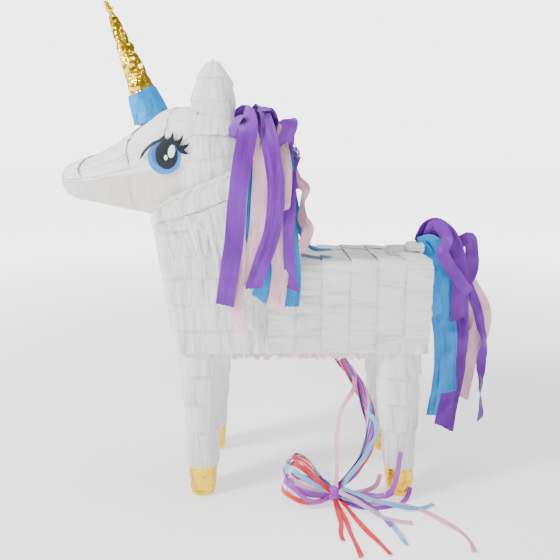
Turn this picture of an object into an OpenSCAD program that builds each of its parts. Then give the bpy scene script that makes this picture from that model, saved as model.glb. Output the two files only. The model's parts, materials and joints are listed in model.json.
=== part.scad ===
// Pull-string unicorn pinata: a cardboard body with layered paper, a trap door in the belly,
// a fill flap in the back and a bunch of pull ribbons.
// X runs from the snout (-) to the tail (+), Y from the near side (-) to the far side (+), Z up.

/* [Body] */
// Height of the back above the floor
back_z = 283; // [278:1:286]
// Height of the belly above the floor
belly_z = 181; // [176:1:184]
// Width of the body over its paper
body_w = 132; // [124:1:136]
// X of the rump
rump_x = 161; // [158:1:162]
// Thickness of the layered paper
paper_t = 4; // [3:0.5:5]
// Thickness of the corrugated board
board_t = 3; // [2:0.5:3.5]

/* [Legs] */
// Radius of a front leg at the belly, over its paper
front_leg_r = 29; // [26:0.5:30]
// Radius of a rear leg at the belly, over its paper
rear_leg_r = 31; // [28:0.5:32]
// Radius of a hoof at the floor
hoof_r = 15; // [14:0.5:17]
// Height of a hoof
hoof_h = 38; // [32:1:44]
// Distance of the hoof centres from the middle plane
hoof_y = 53; // [50:1:54]

/* [Head] */
// Half width of the head at the ears, over its paper
head_half_w = 60; // [57:0.5:62]
// X of the snout
snout_x = -254; // [-256:1:-250]
// Distance of each ear from the middle plane
ear_y = 29; // [26:1:32]

/* [Horn] */
// Lean of the horn towards the snout, in degrees
horn_lean = 19.8; // [15:0.2:25]
// Length of the horn with its collar and twisted tip
horn_len = 137; // [118:1:140]
// Radius of the horn card at its foot
horn_r = 16; // [14:0.5:18]

/* [Trap door] */
// X of the hinge line of the trap door
door_x = -8; // [-14:1:-4]
// Length of the door opening
door_len = 60; // [50:1:60]
// Width of the door opening
door_w = 70; // [50:1:76]

/* [Fill flap] */
// X of the hinge line of the fill flap
flap_x = 122; // [118:1:126]
// Length of the fill opening
flap_len = 60; // [50:1:64]
// Width of the fill opening
flap_w = 60; // [40:1:70]

/* [Hidden] */
$fn = 48;

board_colour = "#b58a5a";
paper_colour = "#eceae4";
gold_colour = "#d9b13a";
purple_colour = "#7434b8";
pink_colour = "#e8c8dc";
blue_colour = "#1f9fe6";
red_colour = "#e0303c";
tape_colour = "#d8c49a";

near = -1;
far = 1;
half_w = body_w / 2;
core_half_w = half_w - paper_t;
big = 600;
streamer_t = 1.6;      // a hanging streamer with its creases
tape_t = 0.5;
hinge_gap = 0.3;       // between a door and its hinge side and ends
free_gap = 1;          // at the door's free edge, so that its corner clears
shoulder_x = -18;      // where the shoulder rows meet the bands of the barrel
neck_foot_z = 289;
head_slope = 0.42;     // rise of the plane between the neck and the head

function head_plane(x) = 338 + head_slope * (x + 136);
plane_lift = paper_t * sqrt(1 + head_slope * head_slope);

// Side outline over the paper, in X and Z: up the chest, over the neck, down the crest,
// along the back and down the rump.
outline = [
    [-122, belly_z], [-130, 229], [-139, 287], [-145, head_plane(-145) + plane_lift],
    [-35, head_plane(-35) + plane_lift], [-18, 336], [12, back_z],
    [rump_x - 4, back_z], [rump_x, back_z - 25], [rump_x + 1, belly_z]
];
function unit(v) = v / norm(v);
function right_of(v) = [v[1], -v[0]];
function inset(p, d) = [
    for (i = [0 : len(p) - 1])
        let (a = p[(i + len(p) - 1) % len(p)], b = p[i], c = p[(i + 1) % len(p)],
             m = right_of(unit(b - a)), n = right_of(unit(c - b)))
            b + (m + n) * d / (1 + m * n)
];
core = inset(outline, paper_t);
inner = inset(outline, paper_t + board_t);
function board_run(i, j) = concat([for (k = [i : j]) core[k]], [for (k = [j : -1 : i]) inner[k]]);

// Head stations from the snout to the nape: share of the length, underside, top, share of the width.
head_back_x = -37;
head_stations = [
    [0, 354, 381, 0.28], [0.02, 349, 386, 0.36], [0.07, 344, 390, 0.45], [0.18, 340, 397, 0.56],
    [0.31, 335, 411, 0.72], [0.44, 329, 429, 0.84], [0.56, 324, 445, 0.94], [0.66, 322, 449, 0.99],
    [0.78, 322, 447, 1], [0.88, 326, 441, 0.96], [0.96, 336, 427, 0.86], [1, 345, 412, 0.7]
];
head_square = 0.8;     // exponent of the rings: 1 is an ellipse, less is squarer
function signed_pow(v, e) = sign(v) * pow(abs(v), e);
function head_rings(d) = [
    for (s = head_stations)
        let (mid_x = (snout_x + head_back_x) / 2, half_l = (head_back_x - snout_x) / 2,
             x = mid_x + (2 * s[0] - 1) * (half_l - d),
             z = (s[1] + s[2]) / 2, h = (s[2] - s[1]) / 2 - d, w = s[3] * head_half_w - d)
            [for (t = [0 : 12 : 348])
                [x, w * signed_pow(cos(t), head_square), z + h * signed_pow(sin(t), head_square)]]
];

// Closed solid through rings of points that turn anticlockwise seen from the front ring's far side.
module skin(rings) {
    n = len(rings[0]);
    last = len(rings) - 1;
    polyhedron(
        points = [for (ring = rings) for (p = ring) p],
        faces = concat(
            [[for (k = [0 : n - 1]) k]],
            [for (i = [0 : last - 1]) for (k = [0 : n - 1]) for (half = [0, 1])
                let (a = i * n + k, b = a + n, c = (i + 1) * n + (k + 1) % n, d = i * n + (k + 1) % n)
                    half == 0 ? [a, b, c] : [a, c, d]],
            [[for (k = [n - 1 : -1 : 0]) last * n + k]]
        ),
        convexity = 6
    );
}
module head_solid(d) skin(head_rings(d));

// Plate with an outline in X and Z, from y0 to y1.
module plate(p, y0, y1) translate([0, y1, 0]) rotate([90, 0, 0])
    linear_extrude(height = y1 - y0) polygon(p);

module block(low, high) translate(low) cube(high - low);

module above_head_plane()
    plate([[-big, head_plane(-big)], [big, head_plane(big)], [big, 2 * big], [-big, 2 * big]], -big, big);

// Legs, each a straight taper between two discs.
leg_top_z = belly_z + paper_t;
sole_t = 1.5;
leg_inset = 0.5;       // keeps the top of a leg inside the side panels
leg_hole_gap = 0.2;    // round a leg tube where it passes through the belly paper
tube_t = 2;
front_leg = [-95, half_w - front_leg_r - leg_inset, front_leg_r, -98];
rear_leg = [130, half_w - rear_leg_r - leg_inset, rear_leg_r, 138];
module leg_taper(leg, side, d) hull() {
    translate([leg[0], side * leg[1], leg_top_z]) cylinder(r = leg[2] - d, h = 0.01, $fn = 32);
    translate([leg[3], side * hoof_y, 0]) cylinder(r = hoof_r - d, h = 0.01, $fn = 32);
}
module leg_holes() for (side = [near, far]) for (leg = [front_leg, rear_leg])
    translate([leg[0], side * leg[1], belly_z - paper_t])
        cylinder(r = leg[2] - paper_t + leg_hole_gap, h = 3 * paper_t);

module leg_tube(leg, side) color(board_colour) difference() {
    intersection() {
        leg_taper(leg, side, paper_t);
        block([-big, -big, sole_t], [big, big, leg_top_z]);
    }
    leg_taper(leg, side, paper_t + tube_t);
}
module leg_cover(leg, side) color(paper_colour) difference() {
    intersection() {
        leg_taper(leg, side, 0);
        block([-big, -big, hoof_h], [big, big, belly_z]);
    }
    leg_taper(leg, side, paper_t);
}
module hoof(leg, side) color(gold_colour) difference() {
    intersection() {
        leg_taper(leg, side, 0);
        block([-big, -big, 0], [big, big, hoof_h]);
    }
    intersection() {
        leg_taper(leg, side, paper_t);
        block([-big, -big, sole_t], [big, big, big]);
    }
}

// Openings of the trap door and of the fill flap, and what fills them.
module door_cut(end_gap, side_gap, z0, z1)
    block([door_x + side_gap, -door_w / 2 + side_gap, z0],
          [door_x + door_len - end_gap, door_w / 2 - side_gap, z1]);
module flap_cut(end_gap, side_gap, z0, z1)
    block([flap_x - flap_len + end_gap, -flap_w / 2 + side_gap, z0],
          [flap_x - side_gap, flap_w / 2 - side_gap, z1]);

// Cardboard
module side_panel(side) color(board_colour)
    plate(core, side > 0 ? core_half_w - board_t : -core_half_w,
                side > 0 ? core_half_w : board_t - core_half_w);
module board_band(p) color(board_colour) plate(p, board_t - core_half_w, core_half_w - board_t);
module chest_panel() board_band(board_run(0, 3));
module crest_panel() board_band(board_run(4, 6));
module back_panel() difference() {
    board_band(board_run(6, 7));
    flap_cut(0, 0, back_z - 2 * paper_t - board_t, back_z + paper_t);
}
module rump_panel() board_band(board_run(7, 9));
module belly_panel() difference() {
    board_band([core[9], core[0], inner[0], inner[9]]);
    door_cut(0, 0, belly_z - paper_t, belly_z + 2 * paper_t + board_t);
}
module head_shell() color(board_colour) intersection() {
    difference() {
        head_solid(paper_t);
        head_solid(paper_t + board_t);
    }
    above_head_plane();
}

// Paper
module torso_paper() difference() {
    plate(outline, -half_w, half_w);
    plate(core, -core_half_w, core_half_w);
}
module neck_cover() color(paper_colour) difference() {
    intersection() {
        torso_paper();
        block([-big, -big, neck_foot_z], [big, big, big]);
    }
    above_head_plane();
}
module shoulder_cover() color(paper_colour) difference() {
    intersection() {
        torso_paper();
        block([-big, -big, 0], [shoulder_x, big, neck_foot_z]);
    }
    leg_holes();
}
module barrel_cover() color(paper_colour) difference() {
    intersection() {
        torso_paper();
        block([shoulder_x, -big, 0], [big, big, neck_foot_z]);
    }
    leg_holes();
    door_cut(0, 0, 0, belly_z + 2 * paper_t);
    flap_cut(0, 0, back_z - 2 * paper_t, big);
    translate([ribbon_exit[0], ribbon_exit[1], 0]) cylinder(r = bundle_r + 0.4, h = belly_z + 2 * paper_t);
}
module head_cover() color(paper_colour) intersection() {
    difference() {
        head_solid(0);
        head_solid(paper_t);
    }
    above_head_plane();
}
fringe_drop = 6;
module belly_fringe() color(paper_colour) for (side = [near, far])
    block([-60, side > 0 ? half_w - 3 : -half_w, belly_z - fringe_drop],
          [92, side > 0 ? half_w : 3 - half_w, belly_z]);

// Ears
ear_outline = [
    [-108, 425], [-101, 456], [-93, 479], [-86, 490], [-77, 494], [-68, 491],
    [-62, 480], [-59, 459], [-57, 425]
];
ear_card_t = 1.5;
module ear_card(side) color(board_colour) difference() {
    plate(inset(ear_outline, 2), side * ear_y - ear_card_t / 2, side * ear_y + ear_card_t / 2);
    head_solid(0);
}
module ear_cover(side) color(paper_colour) difference() {
    plate(ear_outline, side * ear_y - 4, side * ear_y + 4);
    plate(inset(ear_outline, 2), side * ear_y - ear_card_t / 2, side * ear_y + ear_card_t / 2);
    head_solid(0);
}

// Horn, on its own leaning axis
horn_foot = [-149, 0, 431];
collar_len = 34;
foil_t = 1.8;
twist_len = 13;
cone_len = horn_len - twist_len;
tip_r = 2;
module on_horn() translate(horn_foot) rotate([0, -horn_lean, 0]) children();
module horn_cone() color(board_colour) difference() {
    on_horn() difference() {
        cylinder(r1 = horn_r, r2 = tip_r, h = cone_len);
        translate([0, 0, -0.01]) cylinder(r1 = horn_r - 1.2, r2 = tip_r - 1.2, h = cone_len);
    }
    head_solid(0);
}
module foil_body() on_horn() cylinder(r1 = horn_r + foil_t, r2 = tip_r + foil_t, h = cone_len);
module horn_foil() color(gold_colour) difference() {
    union() {
        difference() {
            foil_body();
            on_horn() cylinder(r1 = horn_r, r2 = tip_r, h = cone_len);
        }
        on_horn() translate([0, 0, cone_len]) cylinder(r1 = tip_r + foil_t, r2 = 1.5, h = twist_len);
    }
    head_solid(0);
}
module horn_collar() color(blue_colour) difference() {
    on_horn() cylinder(r1 = 20.5, r2 = 15.5, h = collar_len);
    foil_body();
    head_solid(0);
}

// Eye stickers, each a thin skin on the side of the head
eye_x = -127;
eye_z = 392;
sticker_t = 0.6;
lash_spread = [[12, 22], [19, 20], [27, 12], [29, 3], [30, -6]];
module eye_sticker(side) color("#4a8fd0") intersection() {
    difference() {
        head_solid(-sticker_t);
        head_solid(0);
    }
    translate([eye_x, side > 0 ? 90 : -20, eye_z]) rotate([90, 0, 0]) linear_extrude(height = 70) {
        circle(r = 17);
        for (tip = lash_spread) polygon([[0, 6], tip, [10, 0]]);
    }
}

// Streamers: flat strips along a line of points in X and Z
function strip_edge(p, w) = [
    for (i = [0 : len(p) - 1])
        let (a = p[max(i - 1, 0)], b = p[min(i + 1, len(p) - 1)]) p[i] + right_of(unit(b - a)) * w / 2
];
function strip_outline(p, w) =
    let (last = len(p) - 1, back = strip_edge(p, -w))
        concat(strip_edge(p, w), [for (i = [last : -1 : 0]) back[i]]);
module strips(list, y0) for (s = list) plate(strip_outline(s[1], s[0]), y0, y0 + streamer_t);
module on_both_sides() {
    children();
    mirror([0, 1, 0]) children();
}
layer = streamer_t + 1;
mane_y = -half_w - 1 - streamer_t;
mane_blue_strips = [
    [16, [[-30, 392], [-33, 349], [-34, 312], [-24, 280], [-29, 242]]],
    [20, [[2, 372], [3, 330], [6, 290], [6, 235]]]
];
mane_pink_strips = [
    [18, [[-10, 405], [-2, 379], [-4, 349], [-8, 313], [-5, 275], [-10, 232]]],
    [18, [[-22, 392], [-24, 349], [-28, 307], [-40, 259]]],
    [12, [[6, 398], [18, 376], [20, 352], [15, 328], [17, 292]]]
];
mane_purple_strips = [
    [21, [[-36, 424], [-43, 389], [-50, 349], [-57, 308], [-63, 265], [-67, 238]]],
    [16, [[-20, 422], [-13, 390], [-9, 359], [-13, 318], [-23, 285], [-32, 257]]]
];
module mane_blue() color(blue_colour) on_both_sides() strips(mane_blue_strips, mane_y);
module mane_pink() color(pink_colour) on_both_sides() strips(mane_pink_strips, mane_y - layer);
module mane_purple() color(purple_colour) on_both_sides() strips(mane_purple_strips, mane_y - 2 * layer);
module mane_bunch() color(purple_colour) difference() {
    plate([[-46, 436], [-24, 447], [-12, 430], [0, 402], [8, 384], [-6, 378], [-30, 388]], -half_w, half_w);
    head_solid(0);
    plate(outline, -half_w - 1, half_w + 1);
}

tail_blue_strips = [
    [20, [[180, 280], [187, 250], [193, 210], [196, 170], [198, 113]]],
    [12, [[172, 276], [177, 236], [183, 190], [186, 158], [180, 88]]]
];
tail_purple_strips = [
    [14, [[166, 292], [179, 306], [193, 297], [208, 297], [221, 298]]],
    [18, [[220, 299], [223, 264], [206, 240], [197, 222]]],
    [22, [[213, 232], [211, 180], [208, 134], [203, 100], [199, 64]]],
    [8, [[224, 256], [238, 212], [245, 173], [246, 134], [248, 101], [250, 66]]]
];
tail_pink_strips = [
    [24, [[200, 250], [226, 234], [238, 209], [241, 188], [234, 160], [227, 128], [223, 96]]]
];
module tail_blue() color(blue_colour) strips(tail_blue_strips, -12);
module tail_purple() color(purple_colour) strips(tail_purple_strips, -12 + 2 * layer);
module tail_pink() color(pink_colour) strips(tail_pink_strips, -12 + 4 * layer);
module tail_wrap() color(paper_colour) block([rump_x - 17, -15, back_z], [rump_x + 4, 15, back_z + 13]);

// Trap door, its paper and its hinge tape
module trap_door() color(board_colour) door_cut(free_gap, hinge_gap, leg_top_z, leg_top_z + board_t);
module trap_door_cover() color(paper_colour) door_cut(free_gap, hinge_gap, belly_z, leg_top_z);
module door_hinge_tape() color(tape_colour)
    block([door_x - 12, -door_w / 2 + 2, belly_z - tape_t], [door_x, door_w / 2 - 2, belly_z]);
module ribbon_anchor() color(tape_colour)
    block([ribbon_exit[0] - 7, -16, inner[9][1]], [ribbon_exit[0] + 26, 14, inner[9][1] + tape_t]);

// Fill flap, its paper and its hinge tape
module fill_flap() color(board_colour)
    flap_cut(free_gap, hinge_gap, back_z - paper_t - board_t, back_z - paper_t);
module fill_flap_cover() color(paper_colour) flap_cut(free_gap, hinge_gap, back_z - paper_t, back_z);
module flap_hinge_tape() color(tape_colour)
    block([flap_x + 2 * hinge_gap, -flap_w / 2 + 2, back_z], [flap_x + 12, flap_w / 2 - 2, back_z + tape_t]);

// Pull ribbons: a twisted bundle from the belly to a knot on the floor, a bow and loose tails
bundle_r = 6;
tail_r = 2.8;
ribbon_exit = [60, -2, belly_z];
bundle_route = [
    ribbon_exit, [61, -3, 166], [68, -8, 152], [80, -15, 137], [91, -22, 120], [99, -30, 102],
    [103, -37, 84], [103, -44, 66], [97, -52, 50], [87, -60, 37], [75, -68, 27], [63, -74, 20]
];
knot_at = [57, -78, 0];
red_routes = [
    [[60, -88, 9], [64, -98, 4], [68, -112, 3], [70, -130, 3], [74, -150, 3], [77, -168, 3]],
    [[66, -85, 9], [73, -96, 5], [79, -108, 3], [88, -128, 3], [98, -146, 3], [107, -164, 3]]
];
blue_routes = [
    [[67, -82, 15], [80, -87, 12], [92, -94, 8], [106, -102, 4], [116, -116, 3], [122, -134, 3], [126, -150, 3]],
    [[67, -78, 21], [82, -82, 17], [98, -87, 13], [116, -90, 10], [136, -92, 6], [156, -89, 3], [172, -81, 3]]
];
pink_routes = [
    [[67, -75, 6], [82, -78, 3], [98, -81, 3], [118, -80, 3], [140, -84, 3], [158, -95, 3],
     [173, -110, 3], [186, -126, 3], [193, -144, 3], [192, -160, 3]],
    [[65, -69, 5], [78, -60, 3], [92, -56, 3], [104, -54, 6], [112, -54, 14], [116, -54, 26]]
];
purple_routes = [
    [[67, -72, 14], [82, -72, 10], [98, -72, 9], [112, -74, 9], [124, -75, 16], [129, -74, 30],
     [131, -73, 46], [133, -71, 64]]
];
function route_dirs(p) = [
    for (i = [0 : len(p) - 1]) unit(p[min(i + 1, len(p) - 1)] - p[max(i - 1, 0)])
];
function carried(dirs, u, k = 0) = k == len(dirs) ? [] :
    let (v = unit(u - (u * dirs[k]) * dirs[k])) concat([v], carried(dirs, v, k + 1));
module tube(route, r) {
    dirs = route_dirs(route);
    sides = carried(dirs, [0.6, 0.1, 0.8]);
    skin([for (i = [0 : len(route) - 1]) let (u = sides[i], v = cross(dirs[i], u))
        [for (t = [0 : 45 : 315]) route[i] + r * (cos(t) * u + sin(t) * v)]]);
}
module above_floor() intersection() {
    children();
    block([-big, -big, 0], [big, big, big]);
}
module ribbon_bundle() color("#b450c8") difference() {
    tube(bundle_route, bundle_r);
    translate([0, 0, belly_z]) cylinder(r = big, h = 20);
}
module ribbon_knot() color("#b450c8") translate(knot_at) rotate_extrude()
    polygon([[0, 1], [8, 1], [11, 8], [11, 18], [7, 25], [0, 26]]);
module ribbon_bow() color("#c878c8") linear_extrude(height = 22) hull() {
    translate([16, -34]) circle(r = 20, $fn = 32);
    translate([18, -68]) circle(r = 22, $fn = 32);
    translate([36, -76]) circle(r = 12, $fn = 32);
}
module tails(routes) above_floor() for (route = routes) tube(route, tail_r);
module ribbon_tails_red() color(red_colour) tails(red_routes);
module ribbon_tails_blue() color("#8fc4ea") tails(blue_routes);
module ribbon_tails_pink() color(pink_colour) tails(pink_routes);
module ribbon_tails_purple() color("#c050d8") tails(purple_routes);

side_panel(near);  // side_panel_near
side_panel(far);  // side_panel_far
chest_panel();
crest_panel();
back_panel();
rump_panel();
belly_panel();
head_shell();
ear_card(near);  // ear_card_near
ear_card(far);  // ear_card_far
horn_cone();
leg_tube(front_leg, near);  // leg_tube_front_near
leg_tube(front_leg, far);  // leg_tube_front_far
leg_tube(rear_leg, near);  // leg_tube_rear_near
leg_tube(rear_leg, far);  // leg_tube_rear_far
head_cover();
neck_cover();
shoulder_cover();
barrel_cover();
belly_fringe();
leg_cover(front_leg, near);  // leg_cover_front_near
leg_cover(front_leg, far);  // leg_cover_front_far
leg_cover(rear_leg, near);  // leg_cover_rear_near
leg_cover(rear_leg, far);  // leg_cover_rear_far
ear_cover(near);  // ear_cover_near
ear_cover(far);  // ear_cover_far
horn_foil();
horn_collar();
eye_sticker(near);  // eye_sticker_near
eye_sticker(far);  // eye_sticker_far
hoof(front_leg, near);  // hoof_front_near
hoof(front_leg, far);  // hoof_front_far
hoof(rear_leg, near);  // hoof_rear_near
hoof(rear_leg, far);  // hoof_rear_far
mane_bunch();
mane_purple();
mane_pink();
mane_blue();
tail_wrap();
tail_purple();
tail_pink();
tail_blue();
trap_door();
trap_door_cover();
door_hinge_tape();
ribbon_anchor();
fill_flap();
fill_flap_cover();
flap_hinge_tape();
ribbon_bundle();
ribbon_knot();
ribbon_bow();
ribbon_tails_red();
ribbon_tails_blue();
ribbon_tails_pink();
ribbon_tails_purple();
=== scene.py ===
"""Looks of a pull-string unicorn pinata: crinkled crepe rows, foil horn and hooves, tissue mane and tail,
printed eyes and a bunch of curling ribbons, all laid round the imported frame. Run as a script."""
import json
import math

import bmesh
import bpy
import numpy as np
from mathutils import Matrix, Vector
from mathutils.geometry import delaunay_2d_cdt


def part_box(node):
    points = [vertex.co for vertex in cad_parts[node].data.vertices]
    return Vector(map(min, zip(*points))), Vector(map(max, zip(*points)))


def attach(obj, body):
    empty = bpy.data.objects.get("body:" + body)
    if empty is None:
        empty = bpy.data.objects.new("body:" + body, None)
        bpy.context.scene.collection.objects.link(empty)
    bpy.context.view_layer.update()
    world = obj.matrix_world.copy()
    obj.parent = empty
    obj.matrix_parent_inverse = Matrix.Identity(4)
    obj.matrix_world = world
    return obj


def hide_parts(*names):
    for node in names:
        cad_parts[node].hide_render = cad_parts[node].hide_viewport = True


bl_info = {
    "name": "Unicorn Pinata",
    "version": (1, 0, 0),
    "blender": (4, 5, 0),
    "location": "3D View > Sidebar > Pinata",
    "description": "Builds a pull-string unicorn pinata from crinkled paper round a board body",
    "category": "Object",
}

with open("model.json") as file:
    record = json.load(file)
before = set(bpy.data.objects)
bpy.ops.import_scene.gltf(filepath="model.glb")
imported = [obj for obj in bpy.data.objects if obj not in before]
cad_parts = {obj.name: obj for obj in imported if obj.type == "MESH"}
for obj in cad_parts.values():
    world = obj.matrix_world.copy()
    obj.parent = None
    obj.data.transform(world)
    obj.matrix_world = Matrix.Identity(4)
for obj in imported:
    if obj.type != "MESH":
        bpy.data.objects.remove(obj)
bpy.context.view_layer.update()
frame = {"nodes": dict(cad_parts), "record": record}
MM = 0.001
CORE_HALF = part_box("side_panel_far")[1].y     # half width of the board body
BELLY_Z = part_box("trap_door_cover")[0].z
BACK_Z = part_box("fill_flap_cover")[1].z
DOOR_LOW, DOOR_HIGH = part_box("trap_door_cover")
FLAP_LOW, FLAP_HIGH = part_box("fill_flap_cover")
HOOF_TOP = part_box("hoof_front_near")[1].z
SHOULDER_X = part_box("shoulder_cover")[1].x    # where the shoulder rows meet the bands of the barrel
RUMP_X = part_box("rump_panel")[1].x
PAPER_GAP = 2.2 * MM                          # board to the top of a row
PAPER_STAND = 5.0 * MM                        # board to the free edge of a row
CREASE_RUN = 0.1                              # how much longer a crease is than it is wide, as a ratio


# ---------------------------------------------------------------- settings

def length_prop(name, description, default):
    return bpy.props.FloatProperty(name=name, description=description, default=default, unit="LENGTH",
                                   subtype="DISTANCE", precision=4, min=0.0)


def colour_prop(name, description, default):
    return bpy.props.FloatVectorProperty(name=name, description=description, default=default, size=3,
                                         subtype="COLOR", min=0.0, max=1.0)


class PinataSizes(bpy.types.PropertyGroup):
    column: length_prop("Column", "Spacing of the columns of a paper row's mesh", 1.15 * MM)
    sheet: length_prop("Paper thickness", "Thickness of one crepe row", 0.5 * MM)
    tissue: length_prop("Tissue thickness", "Thickness of a tissue streamer", 0.3 * MM)
    crease_spacing: length_prop("Crease spacing", "Width of a crease in the crepe", 6.4 * MM)
    crease_depth: length_prop("Crease depth", "Depth of a crease in the crepe", 6.2 * MM)
    buckle_size: length_prop("Buckle size", "Width of a soft buckle of a row", 26 * MM)
    buckle_depth: length_prop("Buckle depth", "Depth of a soft buckle of a row", 4.6 * MM)
    edge_wave: length_prop("Edge wave", "How far a free edge wanders", 6.0 * MM)
    ribbon_width: length_prop("Ribbon width", "Width of the curling ribbon", 5.5 * MM)
    ribbon_sheet: length_prop("Ribbon thickness", "Thickness of the curling ribbon", 0.35 * MM)


class PinataColours(bpy.types.PropertyGroup):
    crepe: colour_prop("Crepe", "White crepe", (0.87, 0.865, 0.85))
    # crepe_shade tints the cloudy patches of the crepe, and darkened to 0.66 it is also the painted shade in the crease
    # hollows
    crepe_shade: colour_prop("Crepe shade", "Crepe in its soiled or thin places", (0.78, 0.765, 0.745))
    jaw: colour_prop("Jaw crepe", "Crepe under the jaw", (0.72, 0.68, 0.62))
    blush: colour_prop("Belly fringe", "Pale pink fringe of the belly", (0.84, 0.70, 0.68))
    gold: colour_prop("Gold foil", "Foil of the horn and hooves", (0.92, 0.60, 0.04))
    purple: colour_prop("Purple tissue", "Mane and tail", (0.15, 0.008, 0.36))
    pink: colour_prop("Pink tissue", "Mane and tail", (0.86, 0.50, 0.60))
    blue: colour_prop("Blue tissue", "Mane, tail and the collar of the horn", (0.0, 0.26, 0.70))
    board: colour_prop("Board", "Corrugated board", (0.50, 0.33, 0.18))
    iris: colour_prop("Iris", "Iris of the eye", (0.03, 0.19, 0.60))
    ink: colour_prop("Ink", "Pupil and lashes", (0.006, 0.010, 0.016))
    ribbon_purple: colour_prop("Purple ribbon", "Curling ribbon", (0.36, 0.04, 0.54))
    ribbon_red: colour_prop("Red ribbon", "Curling ribbon", (0.76, 0.012, 0.03))
    ribbon_blue: colour_prop("Blue ribbon", "Curling ribbon", (0.20, 0.50, 0.86))
    ribbon_pink: colour_prop("Pink ribbon", "Curling ribbon", (0.86, 0.42, 0.60))


# ---------------------------------------------------------------- node trees

def add_node(tree, kind, inputs=None, **settings):
    """A node with its settings, its input values, and links from (node, output) pairs."""
    node = tree.nodes.new(kind)
    for key, value in settings.items():
        setattr(node, key, value)
    for key, value in (inputs or {}).items():
        socket = node.inputs[key]
        if isinstance(value, bpy.types.NodeSocket):
            tree.links.new(value, socket)
        else:
            socket.default_value = value
    return node


def maths(tree, operation, a, b=0.0):
    return add_node(tree, "ShaderNodeMath", {0: a, 1: b}, operation=operation).outputs[0]


def scaled(tree, vector, scale):
    return add_node(tree, "ShaderNodeVectorMath", {0: vector, "Scale": scale}, operation="SCALE").outputs[0]


def geometry_tree(name, sizes, seed=None):
    """A Geometry Nodes tree with its inputs named, and the outputs of its input node."""
    tree = bpy.data.node_groups.new(name, "GeometryNodeTree")
    face = tree.interface
    face.new_socket("Geometry", in_out="INPUT", socket_type="NodeSocketGeometry")
    for label, value in sizes:
        face.new_socket(label, in_out="INPUT", socket_type="NodeSocketFloat").default_value = value
    if seed is not None:
        face.new_socket("Seed", in_out="INPUT", socket_type="NodeSocketInt").default_value = seed
    face.new_socket("Material", in_out="INPUT", socket_type="NodeSocketMaterial")
    face.new_socket("Geometry", in_out="OUTPUT", socket_type="NodeSocketGeometry")
    return tree, tree.nodes.new("NodeGroupInput").outputs


def crinkle_tree():
    """Geometry nodes: pushes a sheet out along its creases, buckles and facets, and lets its free edge wander."""
    name = "Crinkled sheet"
    if name in bpy.data.node_groups:
        return bpy.data.node_groups[name]
    tree, start = geometry_tree(name, (
        ("Crease spacing", 0.004), ("Crease depth", 0.001), ("Buckle size", 0.03), ("Buckle depth", 0.002),
        ("Facet size", 0.01), ("Facet depth", 0.0), ("Edge wave", 0.002), ("Seed", 0.0)))

    def named(label, kind="FLOAT_VECTOR"):
        node = add_node(tree, "GeometryNodeInputNamedAttribute", {"Name": label}, data_type=kind)
        return node.outputs["Attribute"]

    def noise(vector, seed, detail=1.0):
        node = add_node(tree, "ShaderNodeTexNoise", {"Vector": vector, "W": seed, "Scale": 1.0, "Detail": detail},
                        noise_dimensions="4D")
        return maths(tree, "SUBTRACT", node.outputs[0], 0.5)

    out, down, wrap, free = named("out"), named("down"), named("wrap"), named("free", "FLOAT")
    round_wrap = add_node(tree, "ShaderNodeVectorMath", {0: wrap, 1: (1, 1, 0.7 / CREASE_RUN)},
                          operation="MULTIPLY").outputs[0]
    crease = noise(scaled(tree, wrap, maths(tree, "DIVIDE", 1.0, start["Crease spacing"])), start["Seed"], 2.0)
    buckle = noise(scaled(tree, round_wrap, maths(tree, "DIVIDE", 1.0, start["Buckle size"])),
                   maths(tree, "ADD", start["Seed"], 7.3))
    facet = add_node(tree, "ShaderNodeTexVoronoi",
                     {"Vector": scaled(tree, round_wrap, maths(tree, "DIVIDE", 1.0, start["Facet size"])),
                      "Scale": 1.0, "Randomness": 1.0, "W": start["Seed"]}, voronoi_dimensions="4D")
    facet = maths(tree, "SUBTRACT", facet.outputs["Distance"], 0.45)
    lifted = maths(tree, "ADD", 0.3, maths(tree, "MULTIPLY", free, 0.7))
    push = maths(tree, "ADD",
                 maths(tree, "MULTIPLY", maths(tree, "MULTIPLY", crease, start["Crease depth"]), lifted),
                 maths(tree, "MULTIPLY", maths(tree, "MULTIPLY", buckle, start["Buckle depth"]), lifted))
    push = maths(tree, "ADD", push, maths(tree, "MULTIPLY", facet, start["Facet depth"]))
    flat_wrap = add_node(tree, "ShaderNodeVectorMath", {0: wrap, 1: (110, 110, 0)}, operation="MULTIPLY").outputs[0]
    wave = maths(tree, "MULTIPLY", noise(flat_wrap, maths(tree, "ADD", start["Seed"], 3.1), 3.0), start["Edge wave"])
    wave = maths(tree, "MULTIPLY", wave, maths(tree, "POWER", maths(tree, "ABSOLUTE", free), 4.0))
    offset = add_node(tree, "ShaderNodeVectorMath", {0: scaled(tree, out, push), 1: scaled(tree, down, wave)},
                      operation="ADD").outputs[0]
    moved = add_node(tree, "GeometryNodeSetPosition", {"Geometry": start["Geometry"], "Offset": offset})
    real = add_node(tree, "GeometryNodeRealizeInstances", {"Geometry": moved.outputs[0]})
    done = add_node(tree, "GeometryNodeSetMaterial", {"Geometry": real.outputs[0], "Material": start["Material"]})
    add_node(tree, "NodeGroupOutput", {"Geometry": done.outputs[0]})
    return tree


def apply_tree(obj, tree, **values):
    """Runs a geometry nodes tree on an object and keeps the result as its plain mesh."""
    modifier = obj.modifiers.new(tree.name, "NODES")
    modifier.node_group = tree
    for item in tree.interface.items_tree:
        if item.item_type == "SOCKET" and item.in_out == "INPUT" and item.name in values:
            modifier[item.identifier] = values[item.name]
    depsgraph = bpy.context.evaluated_depsgraph_get()
    mesh = bpy.data.meshes.new_from_object(obj.evaluated_get(depsgraph), preserve_all_data_layers=True,
                                           depsgraph=depsgraph)
    obj.modifiers.clear()
    old, obj.data = obj.data, mesh
    bpy.data.meshes.remove(old)
    mesh.name = obj.name
    return obj


# ---------------------------------------------------------------- materials

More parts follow.
